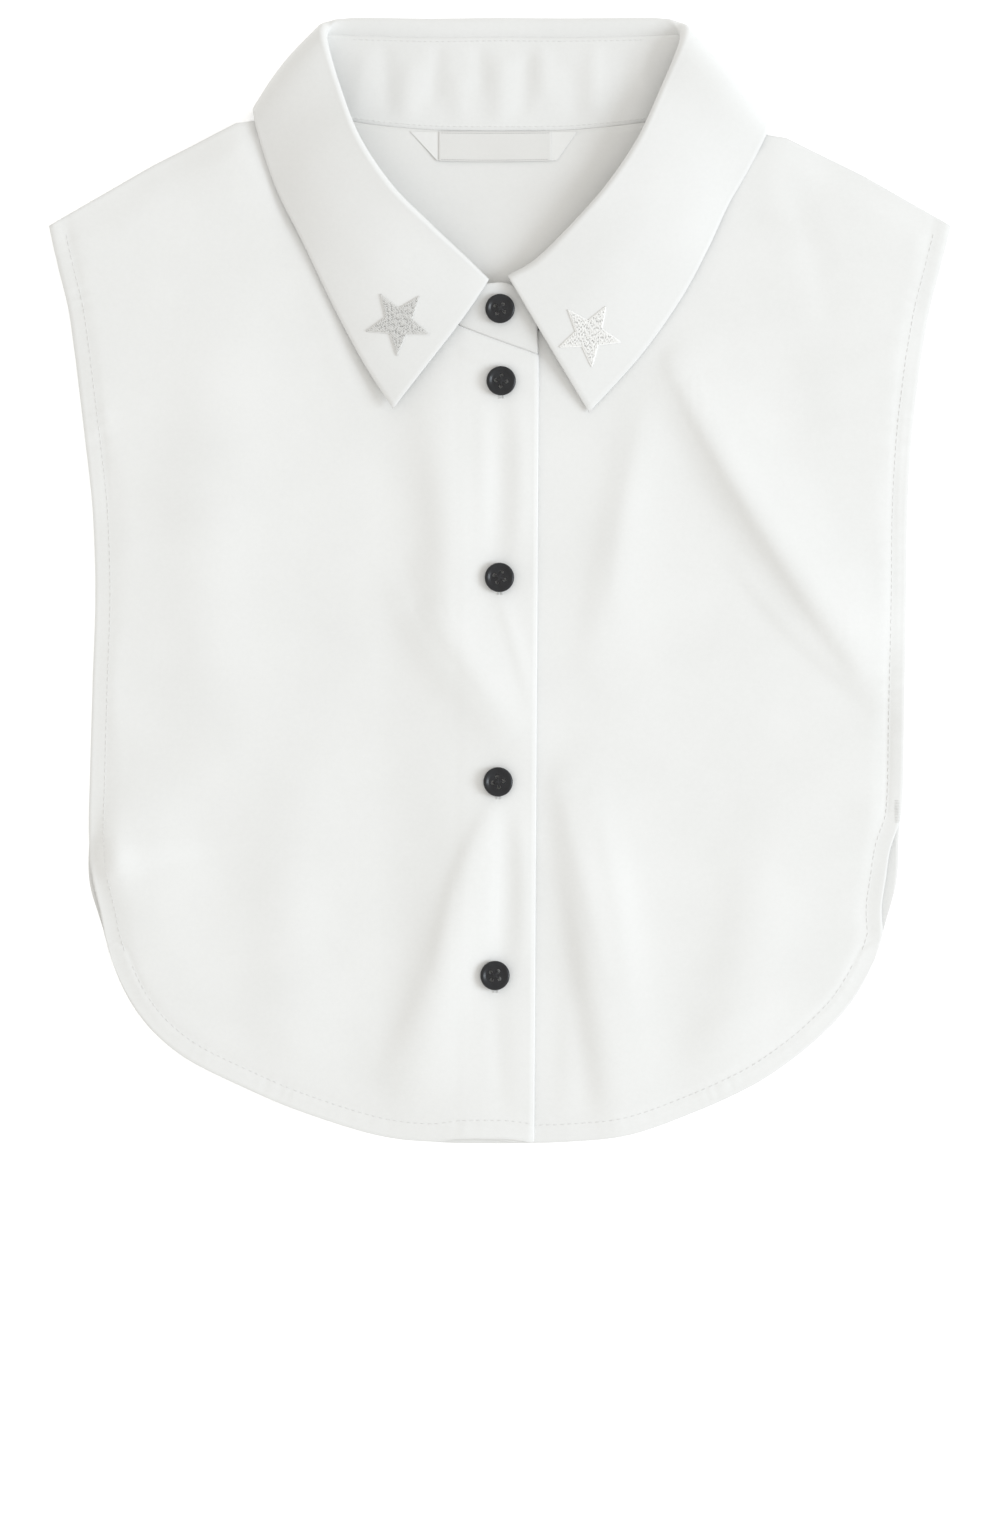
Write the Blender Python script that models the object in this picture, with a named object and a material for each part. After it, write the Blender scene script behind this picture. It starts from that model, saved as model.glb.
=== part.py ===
"""A dickey collar, laid flat with its front up.

X runs to the viewer's right, Y towards the collar and Z up from the table. The tables and sizes
are in millimetres, and MM turns them into the scene's metres. Every piece of cloth is a closed
slab between two grids of points.
"""

import math

import bmesh
import bpy
import numpy as np

MM = 0.001

# Walls and clearances
PANEL_WALL = 1.0
PLACKET_WALL = 1.4
STAND_WALL = 1.0
FALL_WALL = 1.1
TRIM_WALL = 1.0
GAP = 0.3
OVERLAP_GAP = 0.35
BAND_SEAM_GAP = 0.5
SEAM_GAP = 0.7
FRONT_SEAM_GAP = 1.1

# Body
TIP_Y = 127.5
HEM_Y = -202.5
CORNER_Y = -136.6
PLACKET_TOP_X = 13.6
PLACKET_HEM_X = 11.9
PLACKET_WIDTH = 27.0
UNDER_LAP_X = -13.2
HEM_LAP_RISE = 0.1
BACK_INSET = 0.7

# Where the placket's side rises over the other front, and where its folded strip thickens
OVERLAP_START_X = -44.0
OVERLAP_RISE = 28.0
PLACKET_STEP = 4.0

# How far the back shows beyond the fronts beside the bands: at most, around which height, how far
LEFT_PEEK = 0.9
LEFT_PEEK_Y = -112.0
LEFT_PEEK_REACH = 12.0
RIGHT_PEEK = 3.4
RIGHT_PEEK_Y = -107.0
RIGHT_PEEK_REACH = 17.0
BACK_PEEK = 0.3
BACK_PEEK_Y = -108.0
BACK_PEEK_REACH = 14.0

# Heights of the layers above the table
FRONT_Z = PANEL_WALL + GAP
OVERLAP_Z = FRONT_Z + PANEL_WALL + OVERLAP_GAP

# Neck zone, where both panels ride over the turned-under half of the collar
NECK_ZONE_X = 94.0
NECK_ZONE_Y = 153.0
BACK_ZONE_FADE = 18.0
FRONT_ZONE_FADE = 27.0
BACK_NECK_LIFT = 1.5
FRONT_NECK_LIFT = 2.1

# Buttons
BUTTON_WIDTH = 10.6
BUTTON_HEIGHT = 2.2
BUTTON_HOLE = 1.5
BUTTON_HOLE_SPACING = 2.7
BUTTON_SIDES = 24
BUTTON_HOLE_SIDES = 8
BUTTON_PROBES = 12
BUTTON_PLACES = ((0.0, 97.4), (0.4, 71.5), (-0.2, 0.9), (-0.7, -72.5), (-1.8, -142.0))

# A button's section from its foot to its dish: how far in from the rim, and how high
BUTTON_SECTION = (
    (0.9, 0.0),
    (0.15, 0.75),
    (0.0, 1.25),
    (0.35, 2.05),
    (0.8, 2.2),
    (1.5, 1.95),
    (2.2, 1.5),
)

# Side bands: length along the side, reach under the front, thickness
BAND_LENGTH = 21.0
BAND_REACH = 21.6
BAND_WALL = 1.6
BAND_LIFT_FADE = 14.0
BAND_CLEARANCE = 5.4
BAND_POINTS = 7

# Each band's side, middle height, and how far in from the side its fold lies
BAND_ROWS = (
    ("left", -99.6, 0.4),
    ("right", -84.0, 3.8),
)

# A band's section from its fold inwards: distance from the fold, and share of its thickness
BAND_FOLD_SECTION = (
    (0.0, 0.25),
    (0.25, 0.62),
    (0.8, 0.9),
    (1.8, 1.0),
    (8.0, 1.0),
    (13.0, 1.0),
)

# How much flatter the folds are in the front that lies under the placket, and over what width
LAP_EASE = 0.4
LAP_EASE_WIDTH = 8.0

# How a fold is traced: steps along it, where its height starts along the arch, and how full it is
FOLD_STEPS = 24
FOLD_END = 0.08
FOLD_FULLNESS = 0.7

# Body outline from the shoulder tip down to the hem's corner
SIDE_COLUMNS = ("y", "left", "right")
SIDE_ROWS = (
    (127.5, -162.2, 162.2),
    (115.4, -159.5, 159.1),
    (97.4, -155.2, 154.6),
    (79.4, -152.6, 151.4),
    (52.4, -149.4, 148.2),
    (25.4, -146.5, 146.6),
    (-5.0, -145.5, 146.2),
    (-37.0, -146.5, 145.5),
    (-73.6, -147.5, 144.9),
    (-91.6, -147.8, 143.7),
    (-109.6, -146.7, 141.7),
    (-127.6, -142.6, 138.0),
    (-136.6, -139.7, 134.8),
)

# Hem outline from the centre out to the corner
HEM_COLUMNS = ("left_x", "left_y", "right_x", "right_y")
HEM_ROWS = (
    (0.0, -202.5, 0.0, -202.5),
    (-24.0, -202.0, 24.0, -202.0),
    (-45.0, -199.4, 47.0, -199.4),
    (-72.4, -190.8, 71.3, -190.8),
    (-94.0, -181.6, 91.1, -181.6),
    (-112.0, -172.6, 104.8, -172.6),
    (-123.5, -163.6, 115.6, -163.6),
    (-131.0, -154.6, 124.2, -154.6),
    (-136.1, -145.6, 130.3, -145.6),
    (-139.7, -136.6, 134.8, -136.6),
)

# Shoulder edge from the neck point out to the tip
SHOULDER_COLUMNS = ("left_x", "left_y", "right_x", "right_y")
SHOULDER_ROWS = (
    (-88.4, 165.0, 96.2, 159.8),
    (-95.0, 164.2, 103.0, 159.0),
    (-125.0, 149.0, 130.0, 145.8),
    (-162.2, 127.5, 162.2, 127.5),
)

# Folds of the fronts, steep on the left and softer on the right. The columns are the crest's start,
# the point that bows it, its end, then the height, the width on the left and the width on the right.
FOLD_ROWS = (
    (66.0, 72.0, 92.0, 18.0, 143.0, -40.0, 3.4, 9.0, 16.0),
    (50.0, 58.0, 42.0, 8.0, 35.0, -27.0, 1.6, 8.0, 13.0),
    (26.0, -76.0, 35.0, -140.0, 44.0, -198.0, 3.2, 8.0, 17.0),
    (-24.0, 58.0, -16.0, 12.0, -19.0, -12.0, 2.2, 9.0, 11.0),
    (-30.0, -8.0, -16.0, -30.0, 6.0, -56.0, 2.4, 10.0, 12.0),
    (-5.0, -92.0, -20.0, -140.0, -34.0, -188.0, 2.6, 11.0, 12.0),
    (-96.0, 96.0, -112.0, 20.0, -100.0, -60.0, 1.5, 16.0, 18.0),
    (-70.0, -70.0, -84.0, -120.0, -70.0, -176.0, 1.4, 14.0, 14.0),
    (96.0, -90.0, 92.0, -130.0, 76.0, -178.0, 1.6, 12.0, 14.0),
)

# Collar, from the middle of the back to the front end. The seam joins it to the body, the crest is
# where it rolls over, and the edge is the free edge of the fall. The columns are seam x, y, z, crest
# x, y, z, edge x, y, z, then band, roll, swell and sag: how much of the fall lies inside the crest,
# the middle radius of the fold there, how far the fall bulges, and how far the stand bows inwards.
COLLAR_BACK_ROW = (0.0, 161.8, 2.0, 0.0, 201.9, 3.6, 0.0, 157.5, 0.55, 7.0, 1.5, 0.0, 0.6)
COLLAR_LEFT_ROWS = (
    COLLAR_BACK_ROW,
    (-25.0, 162.2, 2.0, -25.0, 201.6, 3.6, -28.0, 157.7, 0.55, 7.0, 1.5, 0.0, 0.6),
    (-50.0, 164.7, 2.0, -48.0, 201.9, 3.7, -56.0, 159.5, 0.55, 6.8, 1.5, 0.0, 0.4),
    (-66.0, 168.7, 2.0, -55.6, 201.5, 4.0, -74.0, 163.0, 0.60, 6.4, 1.5, 0.1, 0.0),
    (-75.5, 171.4, 2.05, -59.4, 199.6, 5.2, -86.8, 167.8, 0.60, 6.0, 1.9, 0.9, 0.0),
    (-79.2, 172.0, 3.2, -61.2, 196.4, 6.8, -88.6, 169.4, 3.10, 5.6, 2.0, 2.0, 0.0),
    (-79.6, 168.4, 4.4, -61.0, 190.6, 8.8, -88.0, 165.0, 5.60, 5.2, 1.9, 1.8, 0.0),
    (-78.4, 160.0, 4.3, -57.2, 177.0, 11.2, -84.8, 153.5, 5.40, 4.8, 1.5, 1.6, 0.0),
    (-74.5, 149.0, 3.4, -50.0, 158.5, 13.6, -79.5, 139.0, 4.60, 4.4, 1.5, 1.6, 0.5),
    (-64.0, 134.5, 2.6, -38.6, 141.5, 12.6, -70.5, 121.0, 4.60, 4.0, 1.5, 1.5, 0.9),
    (-48.0, 118.5, 2.3, -25.2, 128.0, 10.2, -59.5, 98.0, 4.80, 3.4, 1.4, 1.4, 0.7),
    (-30.0, 103.5, 2.6, -13.0, 116.5, 7.2, -48.5, 77.5, 5.60, 2.8, 1.2, 1.2, 0.2),
    (-14.0, 91.6, 3.3, -4.2, 107.9, 4.9, -38.4, 61.8, 6.40, 2.2, 1.0, 1.0, 0.0),
)
COLLAR_RIGHT_ROWS = (
    COLLAR_BACK_ROW,
    (25.0, 162.2, 2.0, 25.0, 201.7, 3.6, 28.0, 157.7, 0.55, 7.0, 1.5, 0.0, 0.6),
    (50.0, 164.7, 2.0, 50.0, 201.9, 3.7, 58.0, 158.8, 0.55, 6.8, 1.5, 0.0, 0.4),
    (68.0, 168.0, 2.0, 58.0, 201.6, 4.0, 80.0, 160.0, 0.60, 6.4, 1.5, 0.1, 0.0),
    (77.5, 170.0, 2.05, 61.8, 199.7, 5.2, 94.2, 162.8, 0.60, 6.0, 1.9, 0.9, 0.0),
    (81.0, 170.2, 3.2, 63.9, 196.4, 6.6, 96.4, 164.2, 3.10, 5.6, 2.0, 2.0, 0.0),
    (81.4, 166.0, 4.4, 63.2, 190.0, 8.2, 95.2, 159.4, 5.60, 5.2, 1.9, 1.8, 0.0),
    (79.8, 157.0, 4.3, 57.8, 176.6, 9.2, 88.8, 147.0, 5.30, 4.8, 1.5, 1.6, 0.0),
    (74.5, 145.5, 3.4, 49.4, 158.5, 10.6, 81.5, 134.2, 4.50, 4.4, 1.5, 1.5, 0.5),
    (63.0, 131.0, 2.6, 38.4, 142.0, 9.8, 74.5, 119.0, 4.40, 4.0, 1.5, 1.4, 0.8),
    (47.0, 115.0, 2.1, 25.6, 127.6, 7.4, 65.0, 101.5, 4.30, 3.6, 1.6, 1.3, 0.3),
    (29.5, 101.0, 1.85, 12.6, 115.0, 3.5, 50.5, 81.0, 4.20, 3.4, 2.4, 1.2, 0.0),
    (14.0, 90.6, 1.85, 3.0, 109.2, 2.6, 32.0, 60.6, 4.20, 3.2, 2.4, 0.8, 0.0),
)

# Front ends of the stand past the fall: seam x, y, z, then x, y, z of the stand's free top edge
STAND_LEFT_END = (
    (-6.0, 88.5, 3.3, 0.5, 106.4, 4.2),
    (3.0, 85.2, 3.3, 5.6, 105.2, 4.2),
    (10.0, 82.7, 3.3, 10.4, 101.8, 4.2),
    (13.4, 81.4, 3.3, 13.2, 97.0, 3.8),
)
STAND_RIGHT_END = (
    (6.0, 87.4, 1.85, -0.5, 105.8, 1.9),
    (-3.0, 84.6, 1.85, -5.8, 104.8, 1.85),
    (-10.0, 82.6, 1.85, -10.8, 102.0, 1.85),
    (-12.9, 81.8, 1.85, -13.0, 97.5, 1.85),
)

# Where the collar is sampled, in rows of its tables, closest together at the turned-over corner
FIRST_HALF_SAMPLES = (0.0, 0.67, 1.33, 2.0, 2.5, 3.0, 3.4, 3.7, 4.0, 4.25, 4.5, 4.75, 5.0)
SECOND_HALF_SAMPLES = (
    5.25, 5.5, 5.75, 6.0, 6.5, 7.0, 7.5, 8.0,
    8.5, 9.0, 9.5, 10.0, 10.5, 11.0, 11.5, 12.0,
)
STAND_STEPS = 4
ROLL_STEPS = 5
FALL_STEPS = 7
FALL_START_PULL = 0.8
FIRST_BUTTON_SECTIONS = 6

# How many points each edge of a panel has
BACK_NECK_POINTS = 15
BACK_SHOULDER_POINTS = 5
BACK_SIDE_POINTS = 21
FRONT_NECK_POINTS = 14
FRONT_SHOULDER_POINTS = 7
FRONT_SIDE_POINTS = 27
HEM_HALF_POINTS = 60
HEM_CURVE_POINTS = 200
FRONT_HEM_POINTS = 300

# How closely a front's hem points follow its neck and shoulder points, and how they bunch up
HEM_FOLLOWS_TOP = 0.8
HEM_BUNCHING = 0.9

# Limits of rounding: the smallest plan area of a triangle, and the slack at its edges
LEAST_AREA = 1e-9
EDGE_SLACK = 1e-6

# Neck label
LABEL_TOP_Y = 161.6
LABEL_FOOT_Y = 150.7
LABEL_TOP_X = (-32.4, 27.7)
LABEL_FOOT_X = (-22.7, 18.7)
LABEL_LINES = 5
LABEL_COLUMNS = 9

# Stars: name, middle x and y, radius, and the turn of the point that looks down
STAR_INNER = 0.42
STAR_CORNERS = 10
STAR_RINGS = (0.5, 1.0)
STAR_ROWS = (
    ("star_left", -36.4, 92.3, 11.9, -3.0),
    ("star_right", 32.0, 88.0, 11.6, 5.0),
)


def smoothstep(value):
    """Rises smoothly from 0 to 1 as value does."""
    value = np.clip(value, 0.0, 1.0)
    return value * value * (3.0 - 2.0 * value)


def through_rows(rows, places):
    """Reads a table at fractional row numbers, on a smooth curve through its rows."""
    rows = np.array(rows, dtype=float)
    last = len(rows) - 1
    result = []
    for place in places:
        start = min(int(place), last - 1)
        share = place - start
        before = rows[max(start - 1, 0)]
        first = rows[start]
        second = rows[start + 1]
        after = rows[min(start + 2, last)]
        if start == 0:
            before = 2.0 * first - second
        if start + 2 > last:
            after = 2.0 * second - first
        slope_first = (second - before) / 2.0
        slope_second = (after - first) / 2.0
        result.append(
            (2 * share**3 - 3 * share**2 + 1) * first
            + (share**3 - 2 * share**2 + share) * slope_first
            + (3 * share**2 - 2 * share**3) * second
            + (share**3 - share**2) * slope_second
        )
    return np.array(result)


def even_steps(points, count):
    """Points at even distances along a line of points."""
    points = np.array(points, dtype=float)
    lengths = np.linalg.norm(np.diff(points, axis=0), axis=1)
    along = np.concatenate(([0.0], np.cumsum(lengths)))
    wanted = np.linspace(0.0, along[-1], count)
    axes = [np.interp(wanted, along, points[:, axis]) for axis in range(points.shape[1])]
    return np.stack(axes, axis=1)


def unit(vectors):
    return vectors / np.linalg.norm(vectors, axis=-1, keepdims=True)


def collar_sections():
    """The collar's table columns at each sampled section, from the left front end to the right."""
    half = FIRST_HALF_SAMPLES + SECOND_HALF_SAMPLES
    left = through_rows(COLLAR_LEFT_ROWS, half)[::-1]
    right = through_rows(COLLAR_RIGHT_ROWS, half)[1:]
    rows = np.concatenate((left, right))
    return {
        "seam": rows[:, 0:3],
        "crest": rows[:, 3:6],
        "edge": rows[:, 6:9],
        "band": rows[:, 9:10],
        "roll": rows[:, 10:11],
        "swell": rows[:, 11:12],
        "sag": rows[:, 12:13],
    }


def section_frames(sections):
    """At each section, the direction up the stand and the direction out of its outer face."""
    middle = (sections["seam"] + sections["crest"]) / 2.0
    along = unit(np.gradient(middle, axis=0))
    up = unit(sections["crest"] - sections["seam"])
    out = unit(np.cross(up, along))
    return up, out


def fall_middle(sections):
    """The fall's middle surface: up the inside from the band, over the crest and out to the edge."""
    up, out = section_frames(sections)
    crest = sections["crest"]
    roll = sections["roll"]
    lines = [crest - up * (sections["band"] - BAND_SEAM_GAP)]
    for step in range(ROLL_STEPS + 1):
        angle = math.pi * step / ROLL_STEPS
        lines.append(crest + up * roll * (math.sin(angle) - 1.0) + out * roll * (1.0 - math.cos(angle)))
    start = lines[-1]
    reach = sections["edge"] - start
    length = np.linalg.norm(reach, axis=1, keepdims=True)
    for step in range(1, FALL_STEPS + 1):
        share = step / FALL_STEPS
        point = (
            (2 * share**3 - 3 * share**2 + 1) * start
            + (share**3 - 2 * share**2 + share) * (-up * FALL_START_PULL * length)
            + (3 * share**2 - 2 * share**3) * sections["edge"]
            + (share**3 - share**2) * reach
        )
        lines.append(point + out * sections["swell"] * math.sin(math.pi * share))
    return np.stack(lines, axis=1)


def stand_lines(sections):
    """Seam line and top line of the stand, with its two front ends."""
    up, _ = section_frames(sections)
    seam = sections["seam"]
    top = sections["crest"] - up * sections["band"]
    left = np.array(STAND_LEFT_END)[::-1]
    right = np.array(STAND_RIGHT_END)
    seam = np.concatenate((left[:, 0:3], seam, right[:, 0:3]))
    top = np.concatenate((left[:, 3:6], top, right[:, 3:6]))
    return seam, top


def stand_middle(sections):
    """The stand's middle surface, bowed a little towards the neck."""
    seam, top = stand_lines(sections)
    along = unit(np.gradient((seam + top) / 2.0, axis=0))
    out = unit(np.cross(unit(top - seam), along))
    shares = np.linspace(0.0, 1.0, STAND_STEPS + 1)
    flat_left = np.zeros((len(STAND_LEFT_END), 1))
    flat_right = np.zeros((len(STAND_RIGHT_END), 1))
    sag = np.concatenate((flat_left, sections["sag"], flat_right))
    lines = [seam + (top - seam) * share - out * sag * math.sin(math.pi * share) for share in shares]
    return np.stack(lines, axis=1)


def thicken(middle, wall):
    """Upper and lower grids on both sides of a middle grid, none below the table."""
    across = np.gradient(middle, axis=1)
    along = np.gradient(middle, axis=0)
    normal = unit(np.cross(along, across))
    upper = middle + normal * wall / 2.0
    lower = middle - normal * wall / 2.0
    upper[:, :, 2] = np.maximum(upper[:, :, 2], 0.0)
    lower[:, :, 2] = np.maximum(lower[:, :, 2], 0.0)
    return upper, lower


def fold_height(x, y):
    """How far the folds raise the fronts at each point."""
    total = np.zeros_like(x)
    for x0, y0, x1, y1, x2, y2, height, left, right in FOLD_ROWS:
        best = np.full_like(x, 1e9)
        lift = np.zeros_like(x)
        for step in range(FOLD_STEPS + 1):
            share = step / FOLD_STEPS
            crest_x = (1 - share) ** 2 * x0 + 2 * share * (1 - share) * x1 + share**2 * x2
            crest_y = (1 - share) ** 2 * y0 + 2 * share * (1 - share) * y1 + share**2 * y2
            distance = np.hypot(x - crest_x, y - crest_y)
            beside = smoothstep(0.5 + (x - crest_x) / (left + right))
            width = left + (right - left) * beside
            taper = math.sin(math.pi * (FOLD_END + (1.0 - 2.0 * FOLD_END) * share)) ** FOLD_FULLNESS
            nearer = distance < best
            best = np.where(nearer, distance, best)
            lift = np.where(nearer, taper * height * np.exp(-((distance / width) ** 2)), lift)
        total = total + lift
    return total


def neck_lift(x, y, fade):
    """1 where the panels ride over the turned-under collar, fading to 0 away from the neck."""
    aside = np.maximum(np.abs(x) - NECK_ZONE_X, 0.0)
    below = np.maximum(NECK_ZONE_Y - y, 0.0)
    return 1.0 - smoothstep(np.hypot(aside, below) / fade)


def side_x(y, side):
    """X of the body's outline at a height, on the left or right side."""
    rows = np.array(SIDE_ROWS)
    column = SIDE_COLUMNS.index(side)
    return float(np.interp(-y, -rows[:, 0], rows[:, column]))


def band_lift(x, y):
    """How far each side band raises the front above it."""
    total = np.zeros_like(x)
    for side, middle, _ in BAND_ROWS:
        edge = side_x(middle, side)
        beyond_x = np.maximum(np.abs(x - edge) - BAND_REACH - BAND_CLEARANCE, 0.0)
        beyond_y = np.maximum(np.abs(y - middle) - BAND_LENGTH / 2.0 - BAND_CLEARANCE, 0.0)
        fade = 1.0 - smoothstep(np.hypot(beyond_x, beyond_y) / BAND_LIFT_FADE)
        total = np.maximum(total, (BAND_WALL + GAP) * fade)
    return total


def front_floor(x, y, over):
    """Height of a front's lower face."""
    height = FRONT_Z + FRONT_NECK_LIFT * neck_lift(x, y, FRONT_ZONE_FADE) + band_lift(x, y)
    folds = fold_height(x, y)
    if over:
        rise = smoothstep((x - OVERLAP_START_X) / OVERLAP_RISE)
        return height + folds + (OVERLAP_Z - FRONT_Z) * rise
    return height + folds * (1.0 - LAP_EASE * smoothstep((PLACKET_TOP_X - x) / LAP_EASE_WIDTH))


def front_wall(x, over):
    """Thickness of a front, more in the placket's folded strip."""
    if not over:
        return np.full_like(x, PANEL_WALL)
    inside = smoothstep((x - (PLACKET_TOP_X - PLACKET_WIDTH) + PLACKET_STEP) / PLACKET_STEP)
    return PANEL_WALL + (PLACKET_WALL - PANEL_WALL) * inside


def coons(top, foot, inner, outer):
    """A grid of plan points that meets four edge lines."""
    columns = len(top)
    rows = len(inner)
    u = np.linspace(0.0, 1.0, columns)[:, None, None]
    v = np.linspace(0.0, 1.0, rows)[None, :, None]
    top = top[:, None, :]
    foot = foot[:, None, :]
    inner = inner[None, :, :]
    outer = outer[None, :, :]
    corners = (
        (1 - u) * (1 - v) * top[0] + u * (1 - v) * top[-1] + (1 - u) * v * foot[0] + u * v * foot[-1]
    )
    return (1 - v) * top + v * foot + (1 - u) * inner + u * outer - corners


def side_line(side, rows, inset):
    """Points down one side of the body, from the shoulder tip to the hem's corner."""
    heights = np.linspace(TIP_Y, CORNER_Y, rows)
    column = SIDE_COLUMNS.index(side)
    table = np.array(SIDE_ROWS)
    places = np.interp(-heights, -table[:, 0], np.arange(len(table)))
    x = through_rows(table, places)[:, column]
    return np.stack((x - np.sign(x) * inset(heights), heights), axis=1)


def hem_line(side, start_x, count):
    """Points along the hem, from start_x to the corner on one side."""
    first = HEM_COLUMNS.index(side + "_x")
    table = np.array(HEM_ROWS)[:, first : first + 2]
    if start_x * table[-1, 0] < 0:
        table = np.concatenate(([[start_x, HEM_Y + HEM_LAP_RISE]], table))
    curve = through_rows(table, np.linspace(0, len(table) - 1, HEM_CURVE_POINTS))
    if start_x * table[-1, 0] < 0:
        return even_steps(curve, count)
    beyond = np.abs(curve[:, 0]) > abs(start_x)
    start_y = np.interp(abs(start_x), np.abs(curve[:, 0]), curve[:, 1])
    return even_steps(np.concatenate(([[start_x, start_y]], curve[beyond])), count)


def shoulder_line(side, neck_point, count):
    """Points from just past the neck point to the shoulder tip."""
    first = SHOULDER_COLUMNS.index(side + "_x")
    table = np.array(SHOULDER_ROWS)[:, first : first + 2]
    table = np.concatenate(([neck_point], table))
    return even_steps(table, count + 1)[1:]


def neckline(sections, gap):
    """Plan points of a panel's neck edge, just outside the collar seam, left end to right end."""
    seam, top = stand_lines(sections)
    up = unit((top - seam)[:, :2])
    return seam[:, :2] - up * gap


def slab(name, upper, lower, material):
    """One closed object between two grids of points in millimetres."""
    columns, rows = upper.shape[:2]
    mesh_builder = bmesh.new()
    layers = []
    for grid in (upper, lower):
        layers.append([[mesh_builder.verts.new(point * MM) for point in line] for line in grid])
    high, low = layers
    for i in range(columns - 1):
        for j in range(rows - 1):
            mesh_builder.faces.new((high[i][j], high[i + 1][j], high[i + 1][j + 1], high[i][j + 1]))
            mesh_builder.faces.new((low[i][j], low[i][j + 1], low[i + 1][j + 1], low[i + 1][j]))
    rim = [(i, 0) for i in range(columns - 1)]
    rim += [(columns - 1, j) for j in range(rows - 1)]
    rim += [(i, rows - 1) for i in range(columns - 1, 0, -1)]
    rim += [(0, j) for j in range(rows - 1, 0, -1)]
    for (i, j), (k, m) in zip(rim, rim[1:] + rim[:1]):
        mesh_builder.faces.new((high[i][j], low[i][j], low[k][m], high[k][m]))
    bmesh.ops.recalc_face_normals(mesh_builder, faces=mesh_builder.faces)
    return finished(name, mesh_builder, material)


def finished(name, mesh_builder, material):
    """Turns a mesh builder into a smooth-shaded object of the scene."""
    mesh = bpy.data.meshes.new(name)
    mesh_builder.to_mesh(mesh)
    mesh_builder.free()
    mesh.materials.append(material)
    mesh.shade_smooth()
    mesh.set_sharp_from_angle(angle=math.radians(50))
    piece = bpy.data.objects.new(name, mesh)
    bpy.context.scene.collection.objects.link(piece)
    return piece


def make_material(name, colour, roughness):
    material = bpy.data.materials.new(name)
    material.use_nodes = True
    shader = material.node_tree.nodes["Principled BSDF"]
    shader.inputs["Base Color"].default_value = (*colour, 1.0)
    shader.inputs["Roughness"].default_value = roughness
    shader.inputs["Metallic"].default_value = 0.0
    return material


def make_back_panel(sections, material):
    """The back: flat on the table, raised only where the collar is turned under it."""
    neck = neckline(sections, SEAM_GAP)
    first = len(STAND_LEFT_END) + len(SECOND_HALF_SAMPLES)
    last = first + 2 * len(FIRST_HALF_SAMPLES) - 2
    middle = even_steps(neck[first : last + 1], BACK_NECK_POINTS)
    left = shoulder_line("left", middle[0], BACK_SHOULDER_POINTS)[::-1]
    right = shoulder_line("right", middle[-1], BACK_SHOULDER_POINTS)
    left = left + np.array((0.0, -BACK_INSET))
    right = right + np.array((0.0, -BACK_INSET))
    top = np.concatenate((left, middle, right))

    def inset(heights):
        peek = np.exp(-(((heights - BACK_PEEK_Y) / BACK_PEEK_REACH) ** 2))
        return BACK_INSET - (BACK_INSET + BACK_PEEK) * peek

    inner = side_line("left", BACK_SIDE_POINTS, inset)
    outer = side_line("right", BACK_SIDE_POINTS, inset)
    count = len(top)
    left_hem = hem_line("left", 0.0, HEM_HALF_POINTS)[::-1]
    right_hem = hem_line("right", 0.0, HEM_HALF_POINTS)[1:]
    foot = even_steps(np.concatenate((left_hem, right_hem)), count)
    foot[:, 1] += BACK_INSET * np.sin(np.linspace(0.0, math.pi, count))
    inner[0], outer[0] = top[0], top[-1]
    foot[0], foot[-1] = inner[-1], outer[-1]
    plan = coons(top, foot, inner, outer)
    x, y = plan[:, :, 0], plan[:, :, 1]
    floor = BACK_NECK_LIFT * neck_lift(x, y, BACK_ZONE_FADE)
    lower = np.dstack((x, y, floor))
    upper = np.dstack((x, y, floor + PANEL_WALL))
    return slab("back_panel", upper, lower, material)


def front_plan(sections, side):
    """Plan grid of one front, from its centre edge out to its armhole and side."""
    neck = neckline(sections, FRONT_SEAM_GAP)
    half = len(STAND_LEFT_END) + len(SECOND_HALF_SAMPLES)
    if side == "left":
        neck = neck[: half + 1]
        lap_top, lap_foot = PLACKET_TOP_X, PLACKET_HEM_X
    else:
        neck = neck[::-1][: half + 1]
        lap_top, lap_foot = UNDER_LAP_X, UNDER_LAP_X
    outermost = int(np.argmax(np.abs(neck[:, 0])))
    neck = even_steps(neck[: outermost + 1], FRONT_NECK_POINTS)
    neck[0, 0] = lap_top
    top = np.concatenate((neck, shoulder_line(side, neck[-1], FRONT_SHOULDER_POINTS)))
    count = len(top)

    def inset(heights):
        if side == "left":
            return LEFT_PEEK * np.exp(-(((heights - LEFT_PEEK_Y) / LEFT_PEEK_REACH) ** 2))
        return RIGHT_PEEK * np.exp(-(((heights - RIGHT_PEEK_Y) / RIGHT_PEEK_REACH) ** 4))

    outer = side_line(side, FRONT_SIDE_POINTS, inset)
    hem = hem_line(side, lap_foot, FRONT_HEM_POINTS)
    reach = np.abs(top[:, 0] - top[0, 0])
    even = np.linspace(0.0, 1.0, count)
    share = HEM_FOLLOWS_TOP * reach / reach[-1] + (1.0 - HEM_FOLLOWS_TOP) * even
    along = np.concatenate(([0.0], np.cumsum(np.linalg.norm(np.diff(hem, axis=0), axis=1))))
    wanted = share**HEM_BUNCHING * along[-1]
    foot = np.stack([np.interp(wanted, along, hem[:, axis]) for axis in range(2)], axis=1)
    inner = np.linspace(top[0], foot[0], FRONT_SIDE_POINTS)
    foot[-1] = outer[-1]
    outer[0] = top[-1]
    return coons(top, foot, inner, outer)


def make_front(sections, side, material):
    """A front, laid over the back. The left one carries the placket and lies over the right one."""
    over = side == "left"
    plan = front_plan(sections, side)
    x, y = plan[:, :, 0], plan[:, :, 1]
    floor = front_floor(x, y, over)
    lower = np.dstack((x, y, floor))
    upper = np.dstack((x, y, floor + front_wall(x, over)))
    name = "front_over" if over else "front_under"
    return slab(name, upper, lower, material)


def make_stand(sections, material):
    upper, lower = thicken(stand_middle(sections), STAND_WALL)
    return slab("collar_stand", upper, lower, material)


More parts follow.
